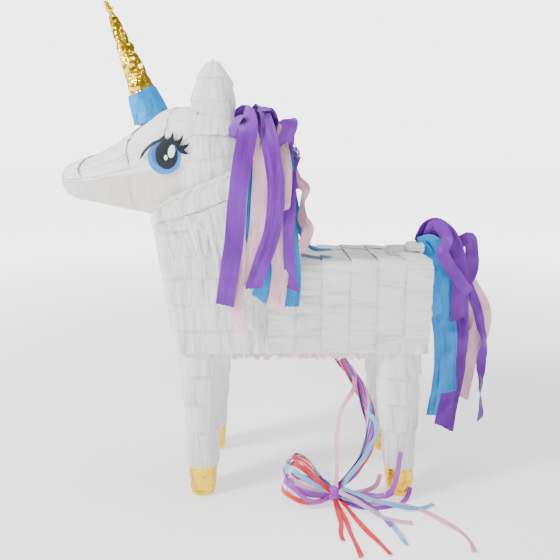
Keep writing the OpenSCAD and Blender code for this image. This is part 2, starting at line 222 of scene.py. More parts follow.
def shader_group(name, inputs, outputs):
    tree = bpy.data.node_groups.new(name, "ShaderNodeTree")
    for label, kind, value in inputs:
        tree.interface.new_socket(label, in_out="INPUT", socket_type=kind).default_value = value
    for label, kind in outputs:
        tree.interface.new_socket(label, in_out="OUTPUT", socket_type=kind)
    return tree, tree.nodes.new("NodeGroupInput").outputs


def crease_group():
    """Fine creases that run across a strip of paper, read from its wrap attribute: a height for the bump, and a mask of
    painted shade for their hollows.
    """
    name = "Paper creases"
    if name in bpy.data.node_groups:
        return bpy.data.node_groups[name]
    tree, start = shader_group(name, [("Spacing", "NodeSocketFloat", 0.0012), ("Roughen", "NodeSocketFloat", 3.0)],
                               [("Height", "NodeSocketFloat"), ("Hollow", "NodeSocketFloat")])
    wrap = add_node(tree, "ShaderNodeAttribute", attribute_name="wrap").outputs["Vector"]
    fine = add_node(tree, "ShaderNodeTexNoise",
                    {"Vector": scaled(tree, wrap, maths(tree, "DIVIDE", 1.0, start["Spacing"])), "Scale": 1.0,
                     "Detail": start["Roughen"], "Roughness": 0.6})
    broad = add_node(tree, "ShaderNodeTexNoise",
                     {"Vector": scaled(tree, wrap, maths(tree, "DIVIDE", 0.23, start["Spacing"])), "Scale": 1.0,
                      "Detail": 2.0})
    both = maths(tree, "ADD", maths(tree, "MULTIPLY", fine.outputs[0], 0.55),
                 maths(tree, "MULTIPLY", broad.outputs[0], 0.45))
    # painted shade: a mask that is high where the crease pattern sinks
    crease_shade_mask = add_node(tree, "ShaderNodeMapRange", {"Value": both, "From Min": 0.49, "From Max": 0.36}).outputs[0]
    add_node(tree, "NodeGroupOutput", {"Height": both, "Hollow": crease_shade_mask})
    return tree


def blotch_group():
    """Soft cloudy variation over a surface."""
    name = "Soft blotches"
    if name in bpy.data.node_groups:
        return bpy.data.node_groups[name]
    tree, start = shader_group(name, [("Size", "NodeSocketFloat", 0.03), ("Low", "NodeSocketFloat", 0.45),
                                      ("High", "NodeSocketFloat", 0.7)], [("Mask", "NodeSocketFloat")])
    where = add_node(tree, "ShaderNodeTexCoord").outputs["Object"]
    cloud = add_node(tree, "ShaderNodeTexNoise",
                     {"Vector": scaled(tree, where, maths(tree, "DIVIDE", 1.0, start["Size"])), "Scale": 1.0,
                      "Detail": 3.0})
    mask = add_node(tree, "ShaderNodeMapRange", {"Value": cloud.outputs[0], "From Min": start["Low"],
                                                 "From Max": start["High"]}).outputs[0]
    add_node(tree, "NodeGroupOutput", {"Mask": mask})
    return tree


def use_group(tree, group, **values):
    node = add_node(tree, "ShaderNodeGroup", node_tree=group)
    for key, value in values.items():
        node.inputs[key.replace("_", " ")].default_value = value
    return node


def mix_colour(tree, share, a, b):
    node = add_node(tree, "ShaderNodeMix", data_type="RGBA")
    for index, value in ((0, share), (6, a), (7, b)):
        if isinstance(value, bpy.types.NodeSocket):
            tree.links.new(value, node.inputs[index])
        else:
            node.inputs[index].default_value = (*value, 1.0) if hasattr(value, "__len__") else value
    return node.outputs[2]


def new_material(name):
    material = bpy.data.materials.new(name)
    material.use_nodes = True
    tree = material.node_tree
    return material, tree, tree.nodes["Principled BSDF"]


def paper_material(name, colour, shade, rough=0.8, spacing=0.0028, bump=1.0, blotch=0.6, tint_to=None, sheen=0.0,
                   translucent=0.0):
    """Crepe or tissue: fine creases with painted shade in their hollows, cloudy darker patches of the shade colour, and
    a second colour where the tint attribute is high.
    """
    material, tree, shader = new_material(name)
    creases = use_group(tree, crease_group(), Spacing=spacing)
    clouds = use_group(tree, blotch_group(), Size=0.035)
    tint = add_node(tree, "ShaderNodeAttribute", attribute_name="tint").outputs["Fac"]
    base = mix_colour(tree, tint, colour, tint_to or shade)
    base = mix_colour(tree, maths(tree, "MULTIPLY", clouds.outputs[0], blotch), base, shade)
    # painted shade in the crease hollows: the colour goes towards 0.66 of the shade colour
    base = mix_colour(tree, maths(tree, "MULTIPLY", creases.outputs["Hollow"], 0.75), base,
                      tuple(c * 0.66 for c in shade))
    tree.links.new(base, shader.inputs["Base Color"])
    lift = add_node(tree, "ShaderNodeBump", {"Height": creases.outputs["Height"], "Strength": bump,
                                             "Distance": spacing * 0.6})
    tree.links.new(lift.outputs[0], shader.inputs["Normal"])
    shader.inputs["Roughness"].default_value = rough
    shader.inputs["Specular IOR Level"].default_value = 0.3
    shader.inputs["Sheen Weight"].default_value = sheen
    shader.inputs["Subsurface Weight"].default_value = translucent
    shader.inputs["Subsurface Radius"].default_value = (0.004, 0.004, 0.004)
    shader.inputs["Subsurface Scale"].default_value = 1.0
    return material


def foil_material(name, colour):
    """Metallic foil on crumpled paper."""
    material, tree, shader = new_material(name)
    where = add_node(tree, "ShaderNodeTexCoord").outputs["Object"]
    crumple = add_node(tree, "ShaderNodeTexVoronoi", {"Vector": where, "Scale": 60.0}, feature="SMOOTH_F1")
    fine = add_node(tree, "ShaderNodeTexNoise", {"Vector": where, "Scale": 75.0, "Detail": 2.0})
    height = maths(tree, "ADD", crumple.outputs["Distance"], maths(tree, "MULTIPLY", fine.outputs[0], 0.5))
    clouds = use_group(tree, blotch_group(), Size=0.012)
    dark = tuple(c * 0.55 for c in colour)
    # short dark dashes where the foil has cracked
    flat = add_node(tree, "ShaderNodeVectorMath", {0: where, 1: (120, 120, 460)}, operation="MULTIPLY").outputs[0]
    dashes = add_node(tree, "ShaderNodeTexNoise", {"Vector": flat, "Scale": 1.0, "Detail": 1.5}).outputs[0]
    cracked = add_node(tree, "ShaderNodeMapRange", {"Value": dashes, "From Min": 0.63, "From Max": 0.67}).outputs[0]
    base = mix_colour(tree, maths(tree, "MULTIPLY", clouds.outputs[0], 0.5), colour, dark)
    base = mix_colour(tree, maths(tree, "MULTIPLY", cracked, 0.85), base, tuple(c * 0.12 for c in colour))
    tree.links.new(base, shader.inputs["Base Color"])
    rough = add_node(tree, "ShaderNodeMapRange", {"Value": fine.outputs[0], "From Min": 0.3, "From Max": 0.7,
                                                  "To Min": 0.16, "To Max": 0.38})
    tree.links.new(rough.outputs[0], shader.inputs["Roughness"])
    lift = add_node(tree, "ShaderNodeBump", {"Height": height, "Strength": 0.35, "Distance": 0.0011})
    tree.links.new(lift.outputs[0], shader.inputs["Normal"])
    shader.inputs["Metallic"].default_value = 1.0
    return material


def ribbon_material(name, colour):
    """Satin curling ribbon with fine lines along it."""
    material, tree, shader = new_material(name)
    wrap = add_node(tree, "ShaderNodeAttribute", attribute_name="wrap").outputs["Vector"]
    ribs = add_node(tree, "ShaderNodeTexNoise",
                    {"Vector": add_node(tree, "ShaderNodeVectorMath", {0: wrap, 1: (2600, 2600, 60)},
                                        operation="MULTIPLY").outputs[0], "Scale": 1.0, "Detail": 2.0})
    clouds = use_group(tree, blotch_group(), Size=0.02)
    pale = tuple(min(1.0, c * 1.25 + 0.06) for c in colour)
    tree.links.new(mix_colour(tree, maths(tree, "MULTIPLY", clouds.outputs[0], 0.6), colour, pale),
                   shader.inputs["Base Color"])
    lift = add_node(tree, "ShaderNodeBump", {"Height": ribs.outputs[0], "Strength": 0.25, "Distance": 0.0003})
    tree.links.new(lift.outputs[0], shader.inputs["Normal"])
    shader.inputs["Roughness"].default_value = 0.3
    shader.inputs["Sheen Weight"].default_value = 0.25
    return material


def board_material(name, colour, flute=0.004, tape=False):
    """Corrugated board with faint flutes, or creped tape."""
    material, tree, shader = new_material(name)
    where = add_node(tree, "ShaderNodeTexCoord").outputs["Object"]
    grain = add_node(tree, "ShaderNodeVectorMath", {0: where, 1: (900, 900, 160)}, operation="MULTIPLY").outputs[0]
    fibres = add_node(tree, "ShaderNodeTexNoise", {"Vector": grain, "Scale": 1.0, "Detail": 4.0})
    wave = add_node(tree, "ShaderNodeTexWave", {"Vector": where, "Scale": 0.16 / flute, "Distortion": 0.4})
    clouds = use_group(tree, blotch_group(), Size=0.03)
    dark = tuple(c * 0.7 for c in colour)
    base = mix_colour(tree, fibres.outputs[0], dark, colour)
    base = mix_colour(tree, maths(tree, "MULTIPLY", clouds.outputs[0], 0.4), base, tuple(c * 0.85 for c in colour))
    tree.links.new(base, shader.inputs["Base Color"])
    height = maths(tree, "ADD", maths(tree, "MULTIPLY", wave.outputs["Fac"], 0.2 if tape else 0.6),
                   maths(tree, "MULTIPLY", fibres.outputs[0], 0.5))
    lift = add_node(tree, "ShaderNodeBump", {"Height": height, "Strength": 0.35, "Distance": 0.0005})
    tree.links.new(lift.outputs[0], shader.inputs["Normal"])
    shader.inputs["Roughness"].default_value = 0.55 if tape else 0.85
    return material


def print_material(name, colour, rough=0.5):
    """Printed sticker: even ink with a faint cloud."""
    material, tree, shader = new_material(name)
    clouds = use_group(tree, blotch_group(), Size=0.008, Low=0.3, High=0.8)
    tree.links.new(mix_colour(tree, maths(tree, "MULTIPLY", clouds.outputs[0], 0.5), colour,
                              tuple(min(1.0, c * 1.5 + 0.01) for c in colour)), shader.inputs["Base Color"])
    shader.inputs["Roughness"].default_value = rough
    shader.inputs["Specular IOR Level"].default_value = 0.25
    return material


# ---------------------------------------------------------------- sheets of paper

def unit(vectors):
    return vectors / np.maximum(np.linalg.norm(vectors, axis=-1, keepdims=True), 1e-12)


def crinkles(**sizes):
    """Inputs of the crinkle tree from sizes in millimetres."""
    return {key.replace("_", " ").capitalize(): value * MM for key, value in sizes.items()}


def link(name, data):
    """A new object in the scene that holds a mesh, a light or a camera."""
    obj = bpy.data.objects.new(name, data)
    bpy.context.scene.collection.objects.link(obj)
    return obj


class Paper:
    """Thin closed shells gathered into one mesh, with what the crinkle tree needs to know of each point."""

    def __init__(self):
        self.parts = {key: [] for key in ("co", "out", "down", "wrap", "free", "tint")}
        self.faces = []
        self.count = 0

    def add(self, points, normals, thick, down, wrap, free, tint, loop=False):
        columns, rows = points.shape[:2]
        half = np.asarray(thick)[..., None] / 2 if np.ndim(thick) else thick / 2
        outer = self.count + np.arange(columns * rows).reshape(columns, rows)
        inner = outer + columns * rows
        for layer in (points + normals * half, points - normals * half):
            self.parts["co"].append(layer.reshape(-1, 3))
            for key, value in (("out", normals), ("down", down), ("wrap", wrap)):
                self.parts[key].append(np.broadcast_to(value, points.shape).reshape(-1, 3))
            for key, value in (("free", free), ("tint", tint)):
                self.parts[key].append(np.broadcast_to(value, (columns, rows)).reshape(-1))
        self.count += 2 * columns * rows
        nxt = (np.roll(outer, -1, 0), np.roll(inner, -1, 0)) if loop else (outer[1:], inner[1:])
        now = (outer, inner) if loop else (outer[:-1], inner[:-1])
        a, b, c, d = now[0][:, :-1], nxt[0][:, :-1], nxt[0][:, 1:], now[0][:, 1:]
        a2, b2, c2, d2 = now[1][:, :-1], nxt[1][:, :-1], nxt[1][:, 1:], now[1][:, 1:]
        quads = [np.stack(q, -1).reshape(-1, 4) for q in (
            (a, b, c, d), (d2, c2, b2, a2),
            (b[:, 0], a[:, 0], a2[:, 0], b2[:, 0]), (d[:, -1], c[:, -1], c2[:, -1], d2[:, -1]))]
        if not loop:
            quads += [np.stack(q, -1).reshape(-1, 4) for q in (
                (a[0], d[0], d2[0], a2[0]), (c[-1], b[-1], b2[-1], c2[-1]))]
        quads = np.vstack(quads)
        middle = (columns // 2, rows // 2)
        below = min(middle[1] + 1, rows - 1)
        side = np.cross(points[(middle[0] + 1) % columns, middle[1]] - points[middle],
                        points[middle[0], below] - points[middle[0], below - 1])
        if side @ normals[middle] < 0:
            quads = quads[:, ::-1]
        self.faces.append(quads)

    def piece(self, name, material, body="root", slot=None, crinkle=None, merge=False):
        """The finished piece, crinkled, riding on its body."""
        mesh = bpy.data.meshes.new(name)
        mesh.from_pydata(np.vstack(self.parts["co"]).tolist(), [], np.vstack(self.faces).tolist())
        for key in ("out", "down", "wrap"):
            data = mesh.attributes.new(key, "FLOAT_VECTOR", "POINT").data
            data.foreach_set("vector", np.vstack(self.parts[key]).astype(np.float32).ravel())
        for key in ("free", "tint"):
            data = mesh.attributes.new(key, "FLOAT", "POINT").data
            data.foreach_set("value", np.concatenate(self.parts[key]).astype(np.float32))
        obj = link(name, mesh)
        sizes = bpy.context.scene.pinata_sizes
        values = {"Crease spacing": sizes.crease_spacing, "Crease depth": sizes.crease_depth,
                  "Buckle size": sizes.buckle_size, "Buckle depth": sizes.buckle_depth, "Facet size": 0.02,
                  "Facet depth": 0.0, "Edge wave": sizes.edge_wave, "Seed": float(len(name)), "Material": material}
        values.update(crinkle or {})
        apply_tree(obj, crinkle_tree(), **values)
        for key in ("out", "down", "free"):
            obj.data.attributes.remove(obj.data.attributes[key])
        if merge:
            work = bmesh.new()
            work.from_mesh(obj.data)
            bmesh.ops.remove_doubles(work, verts=work.verts, dist=1e-6)
            work.to_mesh(obj.data)
            work.free()
        obj.data.polygons.foreach_set("use_smooth", [True] * len(obj.data.polygons))
        obj.data.set_sharp_from_angle(angle=math.radians(60))
        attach(obj, body)
        return obj


def lay(paper, surface, length, across, columns, steps, lift=(PAPER_GAP, PAPER_STAND), span=(0.0, 1.0),
        band=(0.0, 1.0), tint=0.0, seed=0.0, loop=False, thick=None, edges="low"):
    """One row of paper on a surface. surface(u, v, off) gives points; u runs along the row and v down to its free
    edge. length and across are the row's size in metres, for its creases."""
    sizes = bpy.context.scene.pinata_sizes
    u = np.linspace(span[0], span[1], columns, endpoint=not loop)
    v = np.linspace(band[0], band[1], steps)
    U, V = np.meshgrid(u, v, indexing="ij")
    rise = V ** 0.8 if edges == "low" else 1 - (2 * V - 1) ** 2 * 0.45
    off = lift[0] + (lift[1] - lift[0]) * rise
    P = surface(U, V, off)
    outward = surface(U, V, off + 0.001) - P
    if loop:
        along = np.roll(P, -1, 0) - np.roll(P, 1, 0)
    else:
        along = np.gradient(P, axis=0)
    down = np.gradient(P, axis=1)
    N = unit(np.cross(along, down))
    N *= np.sign((N * outward).sum(-1, keepdims=True))
    if loop:
        turn, radius = 2 * np.pi * U, length / (2 * np.pi)
        wrap = np.stack([radius * np.cos(turn), radius * np.sin(turn) + seed, V * across * CREASE_RUN], -1)
    else:
        wrap = np.stack([U * length, np.full_like(U, seed), V * across * CREASE_RUN], -1)
    free = V if edges == "low" else np.abs(2 * V - 1) * np.sign(V - 0.5) + 0.0
    paper.add(P, N, sizes.sheet if thick is None else thick, unit(down), wrap, free, tint, loop)


def row_columns(length):
    return max(8, int(length / bpy.context.scene.pinata_sizes.column))


def signed_power(value, exponent):
    return np.sign(value) * np.abs(value) ** exponent


def corner_radius(off):
    """Rounding of a row's corners, small enough that its paper clears the sharp corner of the board."""
    return np.clip(2.6 * off - 0.0006, 0.002, 0.014)


def open_section(u, end, tip, half, radius):
    """Points (along, across) of a U that starts at end on the near side, turns round tip and comes back."""
    sense = np.sign(tip - end)
    a = np.abs(tip - end) - radius
    b = 2 * (half - radius)
    arc = np.pi * radius / 2
    s = u * (2 * a + b + 2 * arc)
    near = s < a
    turn1 = (s >= a) & (s < a + arc)
    cross = (s >= a + arc) & (s < a + arc + b)
    turn2 = (s >= a + arc + b) & (s < a + 2 * arc + b)
    p1 = (s - a) / radius
    p2 = (s - a - arc - b) / radius
    along = np.select([near, turn1, cross, turn2],
                      [s, a + radius * np.sin(p1), a + radius, a + radius * np.cos(p2)], 2 * a + b + 2 * arc - s)
    width = np.select([near, turn1, cross, turn2],
                      [-half, -(half - radius) - radius * np.cos(p1), s - a - arc - b / 2,
                       (half - radius) + radius * np.sin(p2)], half)
    return end + sense * along, width


def closed_section(u, low, high, half, radius):
    """Points (x, y) of a rounded rectangle, from the middle of its high side round the near side."""
    a = (high - low) - 2 * radius
    b = 2 * (half - radius)
    arc = np.pi * radius / 2
    s = u * (2 * a + 2 * b + 4 * arc)
    marks = [b / 2, b / 2 + arc, b / 2 + arc + a, b / 2 + 2 * arc + a, 1.5 * b + 2 * arc + a,
             1.5 * b + 3 * arc + a, 1.5 * b + 3 * arc + 2 * a, 1.5 * b + 4 * arc + 2 * a]
    angle = [(s - marks[0]) / radius, (s - marks[2]) / radius, (s - marks[4]) / radius, (s - marks[6]) / radius]
    cases = [s < marks[0], s < marks[1], s < marks[2], s < marks[3], s < marks[4], s < marks[5], s < marks[6],
             s < marks[7]]
    inner = half - radius
    x = np.select(cases, [high, high - radius + radius * np.cos(angle[0]), high - radius - (s - marks[1]),
                          low + radius - radius * np.sin(angle[1]), low,
                          low + radius - radius * np.cos(angle[2]), low + radius + (s - marks[5]),
                          high - radius + radius * np.sin(angle[3])], high)
    y = np.select(cases, [-s, -inner - radius * np.sin(angle[0]), -half, -inner - radius * np.cos(angle[1]),
                          -inner + (s - marks[3]), inner + radius * np.sin(angle[2]), half,
                          inner + radius * np.cos(angle[3])], inner - (s - marks[7]))
    return x, y


def body_span(node):
    """Functions for the lowest and highest X of a plate's outline at a height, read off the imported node."""
    mesh = frame["nodes"][node].data
    co = np.array([tuple(vertex.co) for vertex in mesh.vertices])
    edges = np.array([tuple(edge.vertices) for edge in mesh.edges])
    p, q = co[edges[:, 0]], co[edges[:, 1]]
    heights = np.linspace(co[:, 2].min() + 1e-5, co[:, 2].max() - 1e-5, 400)
    low, high = [], []
    for z in heights:
        hit = (p[:, 2] - z) * (q[:, 2] - z) <= 0
        a, b = p[hit], q[hit]
        share = np.where(np.abs(b[:, 2] - a[:, 2]) > 1e-9, (z - a[:, 2]) / (b[:, 2] - a[:, 2] + 1e-12), 0.0)
        x = a[:, 0] + (b[:, 0] - a[:, 0]) * np.clip(share, 0, 1)
        low.append(x.min())
        high.append(x.max())
    return (lambda z: np.interp(z, heights, low)), (lambda z: np.interp(z, heights, high))


chest_x, crest_x = body_span("side_panel_near")


# ---------------------------------------------------------------- paths and strips

def smooth_path(points, step):
    """Points at even steps along a smooth curve through the given ones; columns after the third ride along."""
    P = np.array(points, float)
    P = np.vstack([2 * P[0] - P[1], P, 2 * P[-1] - P[-2]])
    fine = []
    for i in range(1, len(P) - 2):
        p0, p1, p2, p3 = P[i - 1:i + 3]
        for t in np.arange(0, 1, 1 / 16):
            fine.append(0.5 * (2 * p1 + (p2 - p0) * t + (2 * p0 - 5 * p1 + 4 * p2 - p3) * t * t
                               + (3 * p1 - p0 - 3 * p2 + p3) * t ** 3))
    fine = np.array(fine + [P[-2]])
    run = np.concatenate([[0], np.cumsum(np.linalg.norm(np.diff(fine[:, :3], axis=0), axis=1))])
    at = np.linspace(0, run[-1], max(3, int(round(run[-1] / step)) + 1))
    return np.column_stack([np.interp(at, run, fine[:, k]) for k in range(fine.shape[1])]), run[-1]


def strip(paper, centre, facing, width, thick, columns=7, seed=0.0, curl=0.0, tint=0.0, fray=0.0):
    """A flat strip along a line of points. facing is the side that it shows; curl bows it across its width."""
    tangent = unit(np.gradient(centre, axis=0))
    facing = unit(facing - (facing * tangent).sum(-1, keepdims=True) * tangent)
    side = np.cross(facing, tangent)
    u = np.linspace(-0.5, 0.5, columns)
    width = np.broadcast_to(width, len(centre))
    bow = curl * (0.25 - u ** 2)
    P = (centre[None] + side[None] * (u[:, None] * width[None])[..., None]
         + facing[None] * (bow[:, None] * width[None])[..., None])
    if fray:
        cut = fray * (1.6 * u * math.sin(seed * 2.4 + 0.6) + 0.08 * np.sin(u * 23 + seed * 5))
        P[:, -1] += tangent[-1][None] * cut[:, None]
    N = np.broadcast_to(facing[None], P.shape)
    run = np.concatenate([[0], np.cumsum(np.linalg.norm(np.diff(centre, axis=0), axis=1))])
    wrap = np.stack([np.broadcast_to((u * width.mean())[:, None], P.shape[:2]), np.full(P.shape[:2], seed),
                     np.broadcast_to(run[None] * CREASE_RUN, P.shape[:2])], -1)
    free = np.broadcast_to((np.linspace(0, 1, len(centre)) ** 0.5)[None], P.shape[:2])
    paper.add(P, unit(N), thick, np.broadcast_to(tangent[None], P.shape), wrap, free, tint)


# ---------------------------------------------------------------- stage

FLOOR_REACH = 60.0
FLOOR_GLOW = {"From Min": 0.2, "From Max": 2.2, "To Min": 0.9, "To Max": 3.8}    # metres away, then strength
SKY_LIGHT, SKY_SEEN = 0.30, 3.9               # strength on the object, and what the camera sees on top of it
LIGHTS = (("Key light", (-1.3, -0.6, 1.25), 0.35, 38.0), ("Fill light", (1.3, -1.0, 0.8), 1.2, 2.5),
          ("Top light", (0.1, 0.1, 1.8), 0.8, 18.0))    # name, place, size, watts
LIGHTS_AIM = (0, 0, 0.25)
CAMERA_AT = (-0.00077, -0.6348, 0.3835)
CAMERA_TURN = (78, 0, 0.455)                  # degrees
CAMERA_LENS, CAMERA_SENSOR = 34.52, 36.0      # millimetres


class PINATA_OT_stage(bpy.types.Operator):
    """Pale floor, soft lights and the camera"""
    bl_idname = "pinata.stage"
    bl_label = "Stage"

    def execute(self, context):
        scene = context.scene
        mesh = bpy.data.meshes.new("floor")
        mesh.from_pydata([(FLOOR_REACH * x, FLOOR_REACH * y, 0) for x, y in ((-1, -1), (1, -1), (1, 1), (-1, 1))],
                         [], [(0, 1, 2, 3)])
        floor = link("floor", mesh)
        material, tree, shader = new_material("Pale floor")
        clouds = use_group(tree, blotch_group(), Size=0.6)
        tree.links.new(mix_colour(tree, clouds.outputs[0], (0.93, 0.93, 0.93), (0.91, 0.91, 0.915)),
                       shader.inputs["Base Color"])
        shader.inputs["Roughness"].default_value = 0.9
        shader.inputs["Emission Color"].default_value = (1.0, 1.0, 1.0, 1.0)
        where = add_node(tree, "ShaderNodeTexCoord").outputs["Object"]
        far = add_node(tree, "ShaderNodeVectorMath", {0: where}, operation="LENGTH").outputs["Value"]
        glow = add_node(tree, "ShaderNodeMapRange", {"Value": far, **FLOOR_GLOW}, interpolation_type="SMOOTHSTEP")
        tree.links.new(glow.outputs[0], shader.inputs["Emission Strength"])
        mesh.materials.append(material)
        world = scene.world or bpy.data.worlds.new("Studio")
        scene.world = world
        world.use_nodes = True
        tree = world.node_tree
        background = tree.nodes["Background"]
        background.inputs[0].default_value = (1.0, 1.0, 1.0, 1.0)
        seen = add_node(tree, "ShaderNodeLightPath").outputs["Is Camera Ray"]
        tree.links.new(maths(tree, "ADD", SKY_LIGHT, maths(tree, "MULTIPLY", seen, SKY_SEEN)), background.inputs[1])
        for name, place, size, power in LIGHTS:
            light = bpy.data.lights.new(name, "AREA")
            light.shape, light.size, light.energy = "DISK", size, power
            lamp = link(name, light)
            lamp.location = place
            lamp.rotation_euler = (Vector(LIGHTS_AIM) - Vector(place)).to_track_quat("-Z", "Y").to_euler()
        lens = bpy.data.cameras.new("Camera")
        lens.lens, lens.sensor_width = CAMERA_LENS, CAMERA_SENSOR
        camera = link("Camera", lens)
        camera.location = CAMERA_AT
        camera.rotation_euler = [math.radians(angle) for angle in CAMERA_TURN]
        scene.camera = camera
        return {"FINISHED"}


# ---------------------------------------------------------------- pull ribbons, in millimetres

BUNDLE_ROUTE = [
    (60, -2, 181), (61, -3, 166), (68, -8, 152), (80, -15, 137), (91, -22, 120), (99, -30, 102), (103, -37, 84),
    (103, -44, 66), (97, -52, 50), (87, -60, 37), (75, -68, 27), (63, -74, 20)]
KNOT_AT = (57, -78, 13)
RIBBONS = (
    # name, colour, place in the bundle, ring, loose stretch instead of the bundle, loop of the bow, tail
    ("purple_1", "purple", 0.0, 5.0, None,
     [(40, -84, 14), (20, -87, 20), (3, -76, 24), (1, -58, 22), (14, -46, 18), (34, -57, 16), (50, -72, 14)],
     [(67, -72, 14), (82, -72, 10), (98, -72, 9), (112, -74, 9), (124, -75, 16), (129, -75, 30), (131, -74, 46),
      (133, -73, 64)]),
    ("purple_2", "purple", 0.5, 5.0, None,
     [(42, -68, 20), (24, -53, 30), (8, -40, 34), (-1, -50, 28), (8, -68, 18), (28, -78, 12), (46, -80, 11)],
     [(68, -82, 8), (84, -88, 4), (102, -89, 3), (120, -86, 3), (134, -80, 3), (144, -71, 6), (148, -66, 15)]),
    ("red_1", "red", 0.2, 3.0, None,
     [(40, -86, 8), (20, -89, 10), (1, -76, 12), (-2, -58, 12), (14, -42, 10), (33, -55, 9), (50, -74, 9)],
     [(60, -88, 8), (64, -98, 4), (68, -112, 3), (70, -130, 3), (74, -150, 3), (77, -168, 3)]),
    ("red_2", "red", 0.7, 3.0, None,
     [(40, -70, 24), (25, -50, 34), (10, -32, 33), (17, -16, 26), (32, -26, 22), (42, -50, 18), (56, -70, 14)],
     [(66, -85, 9), (73, -96, 5), (79, -108, 3), (88, -128, 3), (98, -146, 3), (107, -164, 3)]),
    ("blue_1", "blue", 0.35, 5.0, None,
     [(44, -64, 20), (34, -42, 28), (23, -20, 28), (7, -22, 22), (4, -42, 18), (22, -66, 14), (44, -80, 12)],
     [(67, -84, 13), (80, -88, 11), (92, -94, 8), (106, -102, 4), (116, -116, 3), (122, -134, 3), (126, -150, 3)]),
    ("blue_2", "blue", 0.85, 4.0,
     [(99, -40, 96), (105, -48, 92), (108, -52, 84), (107, -56, 72), (100, -60, 63), (91, -66, 49), (76, -72, 33)],
     [(42, -80, 20), (22, -80, 34), (4, -68, 40), (2, -50, 34), (18, -45, 28), (38, -58, 22), (54, -72, 20)],
     [(67, -78, 20), (82, -82, 17), (98, -87, 13), (116, -90, 10), (136, -92, 6), (156, -89, 3), (172, -81, 3)]),
    ("pink_1", "pink", 0.1, 3.0, None,
     [(40, -83, 6), (22, -85, 6), (6, -72, 6), (4, -52, 6), (18, -38, 8), (34, -42, 10), (48, -60, 10)],
     [(67, -75, 6), (82, -78, 3), (98, -81, 3), (118, -80, 3), (140, -84, 3), (158, -95, 3), (173, -110, 3),
      (186, -126, 3), (193, -144, 3), (192, -160, 3)]),
    ("pink_2", "pink", 0.6, 5.0,
     [(83, -34, 124), (73, -44, 113), (66, -52, 103), (62, -60, 88), (60, -66, 70), (61, -71, 50), (60, -75, 28)],
     [(44, -60, 12), (37, -36, 16), (24, -14, 16), (6, -18, 12), (0, -36, 9), (12, -57, 7), (42, -73, 8)],
     [(66, -70, 5), (78, -61, 3), (92, -57, 3), (104, -56, 6), (111, -56, 13), (114, -57, 26)]),
    ("purple_3", "purple", 0.22, 6.0, None,
     [(42, -88, 9), (26, -92, 14), (12, -84, 22), (8, -68, 26), (17, -56, 22), (32, -62, 18), (48, -76, 15)],
     [(66, -80, 16), (80, -82, 13), (92, -86, 8), (102, -94, 4), (110, -106, 3), (116, -120, 3)]),
    ("red_3", "red", 0.9, 5.5, None,
     [(40, -78, 28), (26, -72, 38), (14, -62, 40), (9, -50, 34), (17, -42, 26), (32, -52, 20), (48, -68, 16)],
     [(58, -90, 10), (60, -102, 5), (62, -116, 3), (60, -130, 3), (61, -144, 3)]),
    ("pink_3", "pink", 0.42, 6.0, None,
     [(42, -74, 26), (30, -64, 36), (16, -54, 40), (6, -56, 36), (7, -68, 29), (20, -78, 23), (42, -80, 17)],
     [(66, -84, 18), (80, -90, 14), (94, -98, 9), (108, -106, 4), (124, -112, 3), (140, -115, 3)]),
    ("purple_4", "purple", 0.72, 6.0, None,
     [(44, -66, 9), (32, -48, 14), (20, -32, 20), (8, -30, 20), (6, -44, 15), (20, -60, 11), (42, -72, 10)],
     [(66, -68, 10), (80, -66, 5), (96, -66, 3), (112, -68, 3), (126, -66, 6), (134, -62, 16), (136, -60, 28)]),
)


def ribbon_line(phase, ring, loose, loop, tail):
    """Centre line of one ribbon and the way that it faces, in metres, with even steps."""
    centre, _ = smooth_path(np.array(BUNDLE_ROUTE) * MM, 9 * MM)
    tangent = unit(np.gradient(centre, axis=0))
    a = unit(np.cross(tangent, (0.3, 1.0, 0.2)))
    b = np.cross(tangent, a)
    turn = 2 * np.pi * (phase + np.linspace(0, 1.6, len(centre)))[:, None]
    reach = ring * MM * np.sin(np.linspace(0.5, np.pi - 0.35, len(centre)))[:, None]
    outward = a * np.cos(turn) + b * np.sin(turn)
    points = [np.hstack([centre + reach * outward, outward + 0.5 * np.cross(tangent, outward)])]
    if loose:
        keep = centre[:, 2] > loose[0][2] * MM + 8 * MM
        loose = np.array(loose) * MM
        away = unit(loose - centre[[np.abs(centre[:, 2] - p[2]).argmin() for p in loose]])
        points = [points[0][keep], np.hstack([loose, away + (0.0, -0.4, 0.2)])]
    knot = np.array([KNOT_AT]) * MM + np.array([[0, 0, 1]]) * (ring - 4) * 0.8 * MM
    points.append(np.hstack([knot, [[0.2, -0.5, 0.8]]]))
    loop = np.array(loop) * MM
    middle = loop.mean(0)
    points.append(np.hstack([loop, unit(loop - middle) + (0, 0, 0.35)]))
    points.append(np.hstack([knot + (0, 0, 0.003), [[0.1, -0.3, 0.9]]]))
    tail = np.array(tail) * MM
    tail[:, 2] = np.maximum(tail[:, 2] - 1.2 * MM, 1.6 * MM)
    lean = 0.55 * np.sin(np.arange(len(tail)) * 1.7 + phase * 9)
    up = np.stack([lean, -0.3 - 0.2 * lean, np.full(len(tail), 1.0)], -1)
    rise = np.gradient(tail, axis=0)
    steep = np.clip(rise[:, 2:] / np.linalg.norm(rise, axis=1, keepdims=True), 0, 1)
    up = up * (1 - steep) + np.array([-0.2, -1.0, 0.1]) * steep
    points.append(np.hstack([tail, up]))
    return smooth_path(np.vstack(points), 2.2 * MM)


